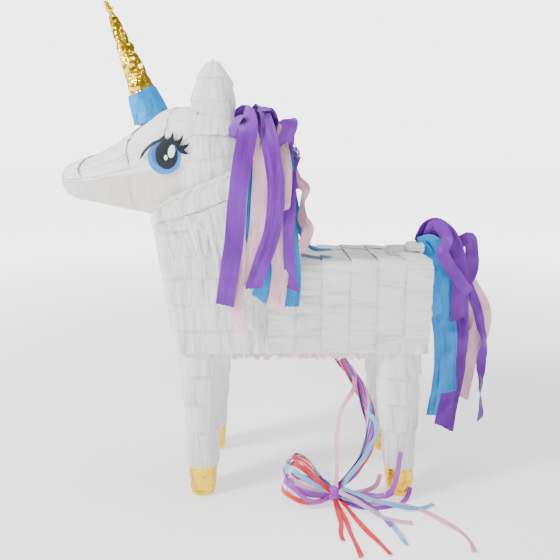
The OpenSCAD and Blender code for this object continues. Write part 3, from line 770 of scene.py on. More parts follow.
class PINATA_OT_ribbons(bpy.types.Operator):
    """Pull ribbons: from the belly to a knot on the floor, a bow and loose tails"""
    bl_idname = "pinata.ribbons"
    bl_label = "Pull ribbons"

    def execute(self, context):
        sizes, colours = context.scene.pinata_sizes, context.scene.pinata_colours
        still = crinkles(crease_depth=0, buckle_depth=0, edge_wave=0)
        finishes = {c: ribbon_material(f"{c.capitalize()} ribbon", getattr(colours, f"ribbon_{c}"))
                    for c in ("purple", "red", "blue", "pink")}
        knot = Paper()
        middle = np.array(KNOT_AT) * MM
        for turn, (lean, radius) in enumerate(((0.0, 8.6), (0.5, 8.0), (-0.6, 7.6))):
            axis = unit(np.array([math.cos(lean), math.sin(lean) * 0.6, math.sin(lean) * 0.7]))
            first = unit(np.cross(axis, (0.1, 0.2, 1.0)))
            second = np.cross(axis, first)
            angle = np.linspace(0, 2 * np.pi, 64, endpoint=False)[:, None, None]
            across = np.linspace(-0.5, 0.5, 6)[None, :, None]
            round_way = np.cos(angle) * first + np.sin(angle) * second
            swell = 1 + 0.06 * np.sin(3 * angle + turn) + 0.05 * np.cos(2 * angle) - 0.25 * across ** 2
            points = middle + round_way * radius * MM * swell + axis * across * 7 * MM
            outward = np.broadcast_to(round_way, points.shape)
            wrap = np.stack(np.broadcast_arrays(np.cos(angle[..., 0]) * 0.008, np.sin(angle[..., 0]) * 0.008,
                                                across[..., 0] * 0.0006), -1)
            knot.add(points, outward, 0.6 * MM, axis, wrap, 0.0, 0.0, loop=True)
        knot = knot.piece("ribbon_tie", finishes["purple"], slot="ribbon_purple",
                          crinkle={**still, **crinkles(crease_depth=0.7, crease_spacing=3)})
        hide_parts("ribbon_knot")
        stands = {"purple_1": ("ribbon_bundle", "ribbon_tails_purple"), "red_1": ("ribbon_tails_red",),
                  "blue_1": ("ribbon_tails_blue",), "pink_1": ("ribbon_tails_pink", "ribbon_bow")}
        for index, (name, colour, phase, ring, loose, loop, tail) in enumerate(RIBBONS):
            line, length = ribbon_line(phase, ring, loose, loop, tail)
            paper = Paper()
            strip(paper, line[:, :3], line[:, 3:], sizes.ribbon_width, sizes.ribbon_sheet, columns=4, seed=index,
                  curl=0.12)
            piece = paper.piece(f"ribbon_{name}", finishes[colour], slot=f"ribbon_{colour}", crinkle=still)
            if name in stands:
                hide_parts(*stands[name])
        return {"FINISHED"}


# ---------------------------------------------------------------- board and tape

class PINATA_OT_board(bpy.types.Operator):
    """Corrugated board of the body, and the paper tape of the hinges"""
    bl_idname = "pinata.board"
    bl_label = "Board and tape"

    def execute(self, context):
        colours = context.scene.pinata_colours
        board = board_material("Corrugated board", colours.board)
        tape = board_material("Creped tape", (0.84, 0.82, 0.78), flute=0.0016, tape=True)
        slots = {part["node"]: part["material_slot"] for part in frame["record"]["subparts"]}
        for name, node in frame["nodes"].items():
            finish = {"board": board, "paper_tape": tape}.get(slots[name])
            if finish:
                for socket in node.material_slots:
                    socket.material = finish
        return {"FINISHED"}


# ---------------------------------------------------------------- body paper

def crepe():
    colours = bpy.context.scene.pinata_colours
    name = "White crepe"
    return bpy.data.materials.get(name) or paper_material(name, colours.crepe, colours.crepe_shade,
                                                          tint_to=colours.jaw, blotch=0.45)


def neck_ring(top, low, slope_top, slope_low, foot=-0.136):
    """Surface of a closed row round the neck; its height rises by the slope with X from foot."""
    def surface(U, V, off):
        z0 = top + (low - top) * V
        slope = slope_top + (slope_low - slope_top) * V
        back = crest_x(z0 + slope * 0.1)
        for _ in range(8):
            back = 0.5 * back + 0.5 * crest_x(np.maximum(z0 + slope * (back - foot), BACK_Z + 0.001))
        x, y = closed_section(U, chest_x(z0) - off, back + off, CORE_HALF + off, corner_radius(off))
        return np.stack([x, y, z0 + slope * (x - foot)], -1)
    return surface


def u_row(top, low, end, tip, side_share=1.0):
    """Surface of a U-shaped row: from end on the near side round the tip and back on the far side."""
    def surface(U, V, off):
        z = top + (low - top) * V
        reach = tip(z) + np.sign(tip(z) - end) * off
        x, y = open_section(U, end, reach, CORE_HALF + off * side_share, corner_radius(off))
        return np.stack([x, y, z], -1)
    return surface


BAND_EDGES = [SHOULDER_X, 0.013, 0.041, 0.072, 0.102, 0.132]
BAND_OVERLAP = 0.004
LAST_EDGE = RUMP_X + 0.0025
CORE_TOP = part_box("back_panel")[1].z
CORE_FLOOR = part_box("belly_panel")[0].z
FLAP_HALF = 0.030


def band_ends(index):
    """X of the free edge and of the covered edge of a band of the barrel."""
    last = index == len(BAND_EDGES) - 1
    return BAND_EDGES[index], LAST_EDGE if last else BAND_EDGES[index + 1] + BAND_OVERLAP


def band_side(index, side, bottom):
    """Surface of one side of a barrel band, from its bottom up and over to the fill flap."""
    low, high = band_ends(index)

    def surface(U, V, off):
        radius, half, top = corner_radius(off), CORE_HALF + off, CORE_TOP + off
        a, b, arc = top - bottom - radius, 2 * (half - radius), np.pi * radius / 2
        total = 2 * a + b + 2 * arc
        z, y = open_section(U * (a + arc + b / 2 - FLAP_HALF) / total, bottom, top, half, radius)
        return np.stack([high + (low - high) * V, -side * y, z], -1)
    return surface


def band_top(index, half):
    low, high = band_ends(index)

    def surface(U, V, off):
        return np.stack([high + (low - high) * V, (2 * U - 1) * half, CORE_TOP + off], -1)
    return surface


def neck_foot_side(side, bottom):
    """Surface of the first band, whose top stays flat against the neck."""
    low, high = band_ends(0)
    top = 0.2965

    def surface(U, V, off):
        z = bottom + (top - bottom) * U
        sunk = np.clip((z - 0.280) / 0.010, 0, 1)
        return np.stack([high + (low - high) * V, side * (CORE_HALF + off * (1 - 0.62 * sunk)), z], -1)
    return surface


# the height of each row's free edge at the chest, with its slope; the row starts a little above
NECK_EDGES = ((0.341, 0.42), (0.323, 0.34), (0.314, 0.10), (0.291, -0.055))
NECK_GIRTH, SHOULDER_GIRTH = 0.44, 0.34
NECK_STRIPS = (((-107, 331), (-83, 337), (-82, 292), (-95, 288)),     # corners in millimetres, X and Z
               ((-87, 336), (-51, 352), (-51, 318), (-74, 274)))
SHOULDER_ROWS = ((0.300, 0.265), (0.270, 0.235), (0.240, 0.2065), (0.2115, 0.1785))    # top, free edge
RUMP_ROWS = ((0.281, 0.256, 0.149), (0.260, 0.230, 0.149), (0.234, 0.205, 0.149), (0.209, 0.1785, 0.126))
BELLY_LOW, BELLY_HIGH, BELLY_HALF, DOOR_SLIT = -0.117, 0.157, 0.0635, 0.0003


class PINATA_OT_body_paper(bpy.types.Operator):
    """Crinkled crepe rows of the neck and shoulder, bands of the barrel, and the papers of both doors"""
    bl_idname = "pinata.body_paper"
    bl_label = "Body paper"

    def execute(self, context):
        white = crepe()
        neck = Paper()
        for i in range(3, 0, -1):
            (top, slope), (low, slope_low) = NECK_EDGES[i - 1:i + 1]
            lay(neck, neck_ring(top + 0.004, low, slope, slope_low), NECK_GIRTH, top - low + 0.02,
                row_columns(NECK_GIRTH), 20, loop=True, seed=i * 0.31)
        # a strip that closes the top of the neck beside the head, and two loose strips over the rows, on each side
        for side in (-1, 1):
            def ledge(U, V, off, side=side):
                x = -0.139 + 0.104 * U
                y = side * (CORE_HALF + 0.0035 - 0.026 * V)
                return np.stack([x, y, 0.3385 + 0.42 * (x + 0.136) + 0.002 * V + off], -1)
            lay(neck, ledge, 0.104, 0.026, row_columns(0.104), 12, seed=30 + side, lift=(1.2 * MM, 2.4 * MM))
            for i, corners in enumerate(NECK_STRIPS):
                (ax, az), (bx, bz), (cx, cz), (dx, dz) = np.array(corners) * MM

                def loose(U, V, off, side=side, ax=ax, az=az, bx=bx, bz=bz, cx=cx, cz=cz, dx=dx, dz=dz):
                    x = (ax + (bx - ax) * U) * (1 - V) + (dx + (cx - dx) * U) * V
                    z = (az + (bz - az) * U) * (1 - V) + (dz + (cz - dz) * U) * V
                    return np.stack([x, side * (CORE_HALF + off), z], -1)
                lay(neck, loose, 0.034, 0.05, row_columns(0.036), 28, seed=20 + i + side,
                    lift=((5.2 + i * 0.6) * MM, (6.4 + i * 0.5) * MM))
        piece = neck.piece("neck_paper", white, slot="crepe_white")
        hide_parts("neck_cover")

        shoulder = Paper()
        for i, (top, low) in enumerate(SHOULDER_ROWS):
            lay(shoulder, u_row(top, low, SHOULDER_X + 0.004, chest_x), SHOULDER_GIRTH, top - low,
                row_columns(SHOULDER_GIRTH), 16, seed=i * 0.37 + 2)
        piece = shoulder.piece("shoulder_paper", white, slot="crepe_white")
        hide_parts("shoulder_cover")

        barrel, flap = Paper(), Paper()
        for side in (-1, 1):
            lay(barrel, neck_foot_side(side, BELLY_Z - 0.002), 0.116, 0.035, row_columns(0.116), 14, seed=5.1 * side)
        for i in range(1, len(BAND_EDGES)):
            low, high = band_ends(i)
            last = i == len(BAND_EDGES) - 1
            bottom = BELLY_Z + (0.011 if last else -0.0015)
            style = {"edges": "both", "lift": (3.4 * MM, PAPER_STAND)} if last else {}
            steps = 14
            for side in (-1, 1):
                lay(barrel, band_side(i, side, bottom), 0.137, high - low, row_columns(0.137), steps,
                    seed=i * 0.41 + side, tint=0.12 if last else 0.0, **style)
            cuts = sorted({low, high, *(x for x in (FLAP_LOW.x, FLAP_HIGH.x) if low < x < high)})
            for x0, x1 in zip(cuts, cuts[1:]):
                inside = FLAP_LOW.x - 1e-6 <= x0 and x1 <= FLAP_HIGH.x + 1e-6
                share = ((high - x1) / (high - low), (high - x0) / (high - low))
                laid = {"lift": (1.3 * MM, 4.0 * MM)} if inside else style
                half = FLAP_HIGH.y - 0.0003 if inside else FLAP_HALF
                lay(flap if inside else barrel, band_top(i, half), 2 * half, high - low, row_columns(2 * half),
                    max(4, int(steps * (x1 - x0) / (high - low)) + 1), band=share, seed=i * 0.41, **{**style, **laid})
            if last:
                for side in (-1, 1):
                    def hem(U, V, off, side=side, bottom=bottom):
                        z = bottom + 0.003 + (CORE_TOP - 0.006 - bottom) * U
                        return np.stack([LAST_EDGE - 0.0012 + off, side * (CORE_HALF + 0.0045 - 0.005 * V), z], -1)
                    lay(barrel, hem, 0.09, 0.005, row_columns(0.09), 6, lift=(0.2 * MM, 0.2 * MM), seed=3.0)
        # rows of the rump, the lowest one reaching forward under the last band
        _, rump_x = body_span("side_panel_far")
        for i, (top, low, end) in enumerate(RUMP_ROWS):
            share = 0.8 if i == 3 else 0.5
            length = 0.124 + 2 * (RUMP_X - end)
            lay(barrel, u_row(top, low, end, lambda z: rump_x(np.minimum(z, CORE_TOP - 0.006)), share), length,
                top - low, row_columns(length), 16, seed=i * 0.29 + 9)
        # the belly, open at the trap door
        for x0, x1, y0, y1 in ((BELLY_LOW, BELLY_HIGH, -BELLY_HALF, DOOR_LOW.y - DOOR_SLIT),
                               (BELLY_LOW, BELLY_HIGH, DOOR_HIGH.y + DOOR_SLIT, BELLY_HALF),
                               (BELLY_LOW, DOOR_LOW.x - DOOR_SLIT, DOOR_LOW.y, DOOR_HIGH.y),
                               (DOOR_HIGH.x + DOOR_SLIT, BELLY_HIGH, DOOR_LOW.y, DOOR_HIGH.y)):
            def belly(U, V, off, x0=x0, x1=x1, y0=y0, y1=y1):
                return np.stack([x0 + (x1 - x0) * U, y0 + (y1 - y0) * V, CORE_FLOOR - off], -1)
            lay(barrel, belly, x1 - x0, y1 - y0, row_columns(x1 - x0), max(6, int((y1 - y0) / 0.004)),
                lift=(2.0 * MM, 2.8 * MM), seed=x0 + y0)
        piece = barrel.piece("barrel_paper", white, slot="crepe_white")
        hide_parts("barrel_cover")
        piece = flap.piece("flap_paper", white, body="fill_flap", slot="crepe_white",
                           crinkle={"Seed": float(len("barrel_paper")), "Edge wave": 0.0})
        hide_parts("fill_flap_cover")

        door = Paper()

        def door_face(U, V, off):
            return np.stack([DOOR_LOW.x + (DOOR_HIGH.x - DOOR_LOW.x) * U,
                             DOOR_LOW.y + (DOOR_HIGH.y - DOOR_LOW.y) * V, CORE_FLOOR - off], -1)
        lay(door, door_face, DOOR_HIGH.x - DOOR_LOW.x, DOOR_HIGH.y - DOOR_LOW.y, 52, 20,
            lift=(2.0 * MM, 2.8 * MM), seed=0.7)
        piece = door.piece("door_paper", white, body="trap_door", slot="crepe_white", crinkle=crinkles(edge_wave=0))
        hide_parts("trap_door_cover")
        return {"FINISHED"}


# ---------------------------------------------------------------- legs and hooves

LEG_TOP = CORE_FLOOR
HOOF_CARD_R = 0.011                           # radius of a leg tube at the floor
HOOF_COLUMNS = 84
HOOF_ROUND = 0.0035                           # rounding of a hoof's lower edge


def leg_surface(node, sole, top, low, square=0.84):
    """Surface of a closed row round a leg tube between two heights."""
    lo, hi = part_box(node)
    radius = (hi.x - lo.x) / 2
    side = math.copysign(1.0, sole[1])
    centre = ((hi.x + lo.x) / 2, side * (min(abs(lo.y), abs(hi.y)) + radius))

    def surface(U, V, off):
        z = top + (low - top) * V
        share = (LEG_TOP - z) / LEG_TOP
        r = radius + (HOOF_CARD_R - radius) * share + off
        turn = 2 * np.pi * U
        x = centre[0] + (sole[0] - centre[0]) * share + r * signed_power(np.cos(turn), square)
        y = centre[1] + (sole[1] - centre[1]) * share + r * signed_power(np.sin(turn), square)
        return np.stack([x, y, z], -1)
    return surface


class PINATA_OT_legs(bpy.types.Operator):
    """Crepe rows of the four legs and their gold foil hooves"""
    bl_idname = "pinata.legs"
    bl_label = "Legs and hooves"

    def execute(self, context):
        colours = context.scene.pinata_colours
        white = crepe()
        cream = paper_material("Cream crepe", colours.crepe, (0.80, 0.76, 0.66), blotch=0.5)
        foil = foil_material("Gold foil of the hooves", colours.gold)
        rows = {"front": (0.187, 0.151, 0.117, 0.083, HOOF_TOP - 0.001),
                "rear": (0.196, 0.177, 0.149, 0.118, 0.083, HOOF_TOP - 0.001)}
        for mount in frame["record"]["mounts"]:
            place = mount["name"].replace("sole_", "")
            sole = mount["pos_m"]
            tube, edges = f"leg_tube_{place}", rows[place.split("_")[0]]
            for kind, pairs in (("upper", list(zip(edges, edges[1:]))[:-1]), ("foot", [edges[-2:]])):
                paper = Paper()
                for i, (top, low) in enumerate(pairs):
                    top = top + (0.004 if top < 0.18 else 0)
                    lay(paper, leg_surface(tube, sole, top, low), 0.15, top - low, row_columns(0.15), 15,
                        loop=True, seed=i * 0.53 + len(place) + (3 if kind == "foot" else 0),
                        lift=(1.2 * MM, 4.0 * MM))
                piece = paper.piece(f"leg_paper_{kind}_{place}", white if kind == "upper" else cream,
                                    slot="crepe_white")
                if kind == "upper":
                    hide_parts(f"leg_cover_{place}")
            hoof = Paper()
            body = leg_surface(tube, sole, HOOF_TOP + 0.003, 0.0, square=0.9)

            def foil_face(U, V, off, body=body, sole=sole):
                """Down the side of the hoof, round its lower edge and in to the middle of the sole."""
                side_share = np.clip(V / 0.72, 0, 1)
                points = body(U, side_share * (1 - HOOF_ROUND / (HOOF_TOP + 0.003)), off)
                turn = np.clip((V - 0.72) / 0.1, 0, 1) * np.pi / 2
                inward = np.clip((V - 0.82) / 0.18, 0, 1)
                middle = np.array([sole[0], sole[1]])
                reach = points[..., :2] - middle
                size = np.linalg.norm(reach, axis=-1, keepdims=True)
                flat = reach / size * ((size - HOOF_ROUND * (1 - np.cos(turn))[..., None]) * (1 - inward[..., None]))
                z = points[..., 2] - HOOF_ROUND * np.sin(turn) * 0.98
                return np.concatenate([middle + flat, (z + (off - 0.003) * (V > 0.81))[..., None]], -1)
            u = np.linspace(0, 1, HOOF_COLUMNS, endpoint=False)
            v = np.concatenate([np.linspace(0, 0.72, 22), np.linspace(0.74, 0.82, 6), np.linspace(0.85, 1.0, 8)])
            U, V = np.meshgrid(u, v, indexing="ij")
            P = foil_face(U, V, np.full_like(U, 3.0 * MM))
            axis = np.array([sole[0], sole[1], 0.02])
            down = np.gradient(P, axis=1)
            N = unit(np.cross(np.roll(P, -1, 0) - np.roll(P, 1, 0), down))
            N[:, -1] = (0, 0, -1)
            N *= np.sign((N * (P - axis)).sum(-1, keepdims=True))
            wrap = P - np.array([sole[0], sole[1], 0]) + len(place)
            wrap = wrap * (1, 1, CREASE_RUN / 0.7)
            calm = np.clip((P[..., 2] - 0.001) / 0.004, 0, 1)
            hoof.add(P, N * np.maximum(calm, 0.02)[..., None], 0.5 * MM, unit(down), wrap, 0.0, 0.0, loop=True)
            piece = hoof.piece(f"hoof_foil_{place}", foil, slot="foil_gold", merge=True,
                               crinkle=crinkles(crease_depth=1.2, crease_spacing=6, buckle_depth=3.0, buckle_size=12,
                                                facet_depth=1.6, facet_size=9, edge_wave=0))
            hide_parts(f"hoof_{place}")
        return {"FINISHED"}


# ---------------------------------------------------------------- head and ears

HEAD_LOW, HEAD_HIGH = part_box("head_cover")
HEAD_HALF = HEAD_HIGH.y
HEAD_STATIONS = np.array([                    # share of the length, underside, top, share of the half width
    (0, .354, .381, .28), (.02, .349, .386, .36), (.07, .344, .390, .45), (.18, .340, .397, .56),
    (.31, .335, .411, .72), (.44, .329, .429, .84), (.56, .324, .445, .94), (.66, .322, .449, .99),
    (.78, .322, .447, 1), (.88, .326, .441, .96), (.96, .336, .427, .86), (1, .345, .412, .70)])
PAPER_T = HEAD_HIGH.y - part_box("head_shell")[1].y
HEAD_SQUARE = 0.8


def head_station(share):
    """Mid height, half height and half width of the board shell at a share of the head's length, smoothed."""
    fine = np.linspace(0, 1, 201)
    values = []
    for k in (1, 2, 3):
        raw = np.interp(fine, HEAD_STATIONS[:, 0], HEAD_STATIONS[:, k])
        soft = np.convolve(np.pad(raw, 6, mode="edge"), np.ones(13) / 13, mode="valid")
        blend = np.clip((fine - 0.08) / 0.1, 0, 1)
        values.append(np.interp(share, fine, raw * (1 - blend) + soft * blend))
    low, high, width = values
    return (low + high) / 2, (high - low) / 2 - PAPER_T, width * HEAD_HALF - PAPER_T


def head_x(share, off):
    half = (HEAD_HIGH.x - HEAD_LOW.x) / 2
    return (HEAD_HIGH.x + HEAD_LOW.x) / 2 + (2 * share - 1) * (half - PAPER_T + off)


def head_ring(share_of, turn_of):
    """Surface on the head: station share and turn (0 far side, 0.25 top, 0.5 near side, 0.75 jaw) from u and v."""
    def surface(U, V, off):
        share, turn = share_of(U, V), 2 * np.pi * turn_of(U, V)
        middle, height, width = head_station(share)
        y = (width + off) * signed_power(np.cos(turn), HEAD_SQUARE)
        z = middle + (height + off) * signed_power(np.sin(turn), HEAD_SQUARE)
        return np.stack([head_x(share, off), y, z], -1)
    return surface


def head_side(side, top, low, front, back):
    """Surface on one side of the head between two slanted lines of height: (height at front, height at back)."""
    def surface(U, V, off):
        share = front + (back - front) * U
        z = (top[0] + (top[1] - top[0]) * U) * (1 - V) + (low[0] + (low[1] - low[0]) * U) * V
        middle, height, width = head_station(share)
        rise = np.clip((z - middle) / (height + off), -0.985, 0.985)
        turn = np.arcsin(signed_power(rise, 1 / HEAD_SQUARE))
        y = side * (width + off) * np.abs(np.cos(turn)) ** HEAD_SQUARE
        return np.stack([head_x(share, off), y, middle + (height + off) * rise], -1)
    return surface


class PINATA_OT_head(bpy.types.Operator):
    """Crepe skin and patches of the head, and the two ears"""
    bl_idname = "pinata.head"
    bl_label = "Head and ears"

    def execute(self, context):
        white = crepe()
        colours = context.scene.pinata_colours
        bright = paper_material("Bright crepe", tuple(min(c * 1.05, 0.9) for c in colours.crepe),
                                colours.crepe_shade, blotch=0.3, tint_to=colours.jaw, bump=0.8)
        head = Paper()
        even = (2.2 * MM, 2.2 * MM)
        lay(head, head_ring(lambda U, V: 1 - V, lambda U, V: U), 0.30, 0.217, row_columns(0.28), 120, lift=even,
            loop=True, seed=0.9)
        # blunt end of the snout and closed nape
        for share, seed in ((0.0, 0.4), (1.0, 0.6)):
            def cap(U, V, off, share=share):
                middle, height, width = head_station(np.full_like(U, share))
                turn, size = 2 * np.pi * U, (1 - V * 0.995)
                y = (width + off) * signed_power(np.cos(turn), HEAD_SQUARE) * size
                z = middle + (height + off) * signed_power(np.sin(turn), HEAD_SQUARE) * size
                bulge = np.sqrt(np.maximum(1 - size ** 2, 0)) * 0.003 + off * 0.3
                return np.stack([head_x(share, 2.2 * MM) + (bulge if share > 0.5 else -bulge), y, z], -1)
            lay(head, cap, 0.09, 0.014, 90, 12, lift=(2.4 * MM, 2.5 * MM), loop=True, seed=seed)
        piece = head.piece("head_skin", bright, slot="crepe_white",
                           crinkle=crinkles(edge_wave=0, crease_depth=3.0, buckle_depth=2.6))
        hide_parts("head_cover")

        patches = Paper()
        flat = {"lift": (2.9 * MM, 3.7 * MM)}

        def patch(share_of, turn_of, length, across, steps, **style):
            lay(patches, head_ring(share_of, turn_of), length, across, row_columns(length), steps,
                **{**flat, **style})
        # loops of the snout, each over the one behind it, with slanted free edges
        for i, (start, end, slant) in enumerate(((0.01, 0.155, 0.05), (0.13, 0.275, -0.045), (0.25, 0.43, 0.05))):
            patch(lambda U, V, s=start, e=end, w=slant: s + (e - s + w * np.sin(2 * np.pi * (U - 0.1))) * V,
                  lambda U, V: 0.02 + 0.47 * U, 0.11 + 0.02 * i, 0.035, 16, seed=1.3 + i)
        # cheeks and forehead
        for side, turn in ((-1, lambda U: 0.52 - 0.30 * U), (1, lambda U: -0.02 + 0.30 * U)):
            for i, (start, end, slant) in enumerate(((0.40, 0.60, 0.07), (0.57, 0.74, -0.05))):
                patch(lambda U, V, s=start, e=end, w=slant: s + (e - s + w * (U - 0.5)) * V,
                      lambda U, V, t=turn: t(U), 0.125, 0.04, 18, seed=4.3 + i + side)
        # jaw: darker, creased along the head, from the snout back to the throat
        for side, first, last in ((-1, 0.505, 0.745), (1, -0.005, -0.245)):
            lay(patches, head_ring(lambda U, V: 0.015 + 0.69 * U, lambda U, V, a=first, b=last: a + (b - a) * V),
                0.155, 0.05, row_columns(0.155), 22, lift=(3.4 * MM, 3.0 * MM), tint=1.0, seed=7.7 * side)
        # slanted rows behind the eye, each over the next one down
        for side in (-1, 1):
            for i, (top, low, front, back) in enumerate((
                    ((0.352, 0.372), (0.336, 0.362), 0.60, 0.985), ((0.394, 0.402), (0.349, 0.374), 0.655, 0.985),
                    ((0.420, 0.420), (0.388, 0.397), 0.665, 0.975), ((0.437, 0.436), (0.4145, 0.4165), 0.69, 0.96))):
                lay(patches, head_side(side, top, low, front, back), 0.075, 0.03, row_columns(0.075), 16,
                    seed=11 + i + side, lift=(3.0 * MM, 4.9 * MM))
        patches.piece("head_patches", bright, slot="crepe_white",
                      crinkle=crinkles(crease_depth=3.4, buckle_depth=2.6, edge_wave=6.5))

        for name in ("near", "far"):
            low_x, high_x = body_span(f"ear_cover_{name}")
            lo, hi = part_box(f"ear_cover_{name}")
            middle_y, tip = (lo.y + hi.y) / 2, hi.z - 0.0002
            ear = Paper()
            for i, (top, low) in enumerate(((tip, 0.4755), (0.4800, 0.4520), (0.4560, 0.4310), (0.4345, 0.4180))):
                def ear_row(U, V, off, top=top, low=low):
                    z = top + (low - top) * V
                    a, b = low_x(np.maximum(z, 0.442)), high_x(np.maximum(z, 0.442))
                    rounded = np.sqrt(np.clip((tip - z) / 0.012, 0, 1))
                    half_x = (b - a) / 2 - 0.0018 + off * 0.6 * rounded
                    half_y = (0.0022 + 0.0028 * np.clip((tip - z) / 0.05, 0, 1) + off * 0.5) * (0.15 + 0.85 * rounded)
                    turn = 2 * np.pi * U
                    return np.stack([(a + b) / 2 + half_x * signed_power(np.cos(turn), 0.8),
                                     middle_y + half_y * signed_power(np.sin(turn), 0.8), z], -1)
                lay(ear, ear_row, 0.09, top - low, row_columns(0.095), 14, loop=True, seed=i * 0.7 + hi.y * 40,
                    lift=(0.8 * MM, 4.0 * MM))
            piece = ear.piece(f"ear_paper_{name}", white, slot="crepe_white",
                              crinkle=crinkles(crease_depth=3.0, buckle_depth=2.6, buckle_size=16))
            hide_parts(f"ear_cover_{name}")
        return {"FINISHED"}


# ---------------------------------------------------------------- eyes

EYE_AT = (-0.127, 0.392)
LASHES = [(-27.5, -2), (-24.5, 4.5), (-19, 11), (-11.5, 16.5), (-4.5, 19), (1, 24), (2, 19.5), (4.5, 18.5),
          (7.5, 21), (10.5, 27.5), (11, 21.5), (11.5, 16.5), (15, 17.5), (18.5, 20), (21, 23.5), (20.5, 18.5),
          (18.5, 14.5), (17, 12), (21.5, 12.5), (25, 13.5), (28, 15.5), (25.5, 10.5), (22, 8), (24, 5.5), (28, 4.5),
          (23.5, 3), (18.5, 4.5), (15, 7.5), (13, 12), (6, 16), (-1.5, 16.5), (-7.5, 15), (-15, 10.5), (-20.5, 5.5),
          (-24.5, 0)]


def oval(x, z, rx, rz, lean=0.0, count=56):
    turn = np.linspace(0, 2 * np.pi, count, endpoint=False)
    a, b = rx * np.cos(turn), rz * np.sin(turn)
    c, s = math.cos(lean), math.sin(lean)
    return list(zip(x + a * c + b * s, z - a * s + b * c))


def head_face(side, x, z, off):
    """Point on the side of the head at X and Z, in metres."""
    half = (HEAD_HIGH.x - HEAD_LOW.x) / 2
    share = ((x - (HEAD_HIGH.x + HEAD_LOW.x) / 2) / (half - PAPER_T + off) + 1) / 2
    middle, height, width = head_station(share)
    rise = np.clip((z - middle) / (height + off), -0.99, 0.99)
    turn = np.arcsin(signed_power(rise, 1 / HEAD_SQUARE))
    return np.stack([x, side * (width + off) * np.cos(turn) ** HEAD_SQUARE, z], -1)


def sticker(name, outline, side, off, material):
    """A printed shape laid on the side of the head: outline in millimetres round the middle of the iris."""
    outline = [(EYE_AT[0] + x * MM, EYE_AT[1] + z * MM) for x, z in outline]
    xs, zs = [p[0] for p in outline], [p[1] for p in outline]
    inner = [(x, z) for x in np.arange(min(xs), max(xs), 1.6 * MM) for z in np.arange(min(zs), max(zs), 1.6 * MM)]
    count = len(outline)
    ring = [(i, (i + 1) % count) for i in range(count)]
    made = delaunay_2d_cdt([Vector(p) for p in outline + inner], ring, [list(range(count))], 1, 1e-7)
    flat, faces = np.array([tuple(p) for p in made[0]]), [list(f) for f in made[2]]
    used = sorted({i for f in faces for i in f})
    place = {old: new for new, old in enumerate(used)}
    flat, faces = flat[used], [[place[i] for i in f] for f in faces]
    upper = head_face(side, flat[:, 0], flat[:, 1], off)
    under = head_face(side, flat[:, 0], flat[:, 1], off - 0.5 * MM)
    total = len(flat)
    sample = upper[faces[0]]
    if np.cross(sample[1] - sample[0], sample[2] - sample[0])[1] * side < 0:
        faces = [f[::-1] for f in faces]
    directed = {(f[i], f[(i + 1) % len(f)]) for f in faces for i in range(len(f))}
    rim = [(a, b) for a, b in directed if (b, a) not in directed]
    faces = (faces + [[i + total for i in f[::-1]] for f in faces]
             + [[b, a, a + total, b + total] for a, b in sorted(rim)])
    mesh = bpy.data.meshes.new(name)
    mesh.from_pydata(np.vstack([upper, under]).tolist(), [], faces)
    mesh.materials.append(material)
    obj = link(name, mesh)
    mesh.polygons.foreach_set("use_smooth", [True] * len(mesh.polygons))
    mesh.set_sharp_from_angle(angle=math.radians(45))
    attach(obj, "root")
    return obj


class PINATA_OT_eyes(bpy.types.Operator):
    """Printed eye on each side of the head: iris, pupil, glints and lashes"""
    bl_idname = "pinata.eyes"
    bl_label = "Eyes"

    def execute(self, context):
        colours = context.scene.pinata_colours
        blue, ink = print_material("Iris ink", colours.iris), print_material("Black ink", colours.ink)
        white = print_material("Glint ink", (0.80, 0.82, 0.80))
        shade = print_material("Iris shade", tuple(c * 0.6 for c in colours.iris))
        for name, side in (("near", -1), ("far", 1)):
            iris = sticker(f"eye_iris_{name}", oval(0, 0, 17.9, 17.3), side, 6.0 * MM, blue)
            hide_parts(f"eye_sticker_{name}")
            sticker(f"eye_iris_shade_{name}", oval(1.0, 3.2, 14.6, 13.6), side, 6.2 * MM, shade)
            sticker(f"eye_pupil_{name}", oval(2.7, 2.5, 12.0, 14.4), side, 6.4 * MM, ink)
            sticker(f"eye_lashes_{name}", LASHES, side, 6.6 * MM, ink)
            sticker(f"eye_glint_{name}", oval(8.6, 6.2, 3.7, 6.7, 0.21), side, 6.8 * MM, white)
            sticker(f"eye_spark_{name}", oval(2.2, 0.0, 1.9, 2.7), side, 6.8 * MM, white)
        return {"FINISHED"}


# ---------------------------------------------------------------- horn

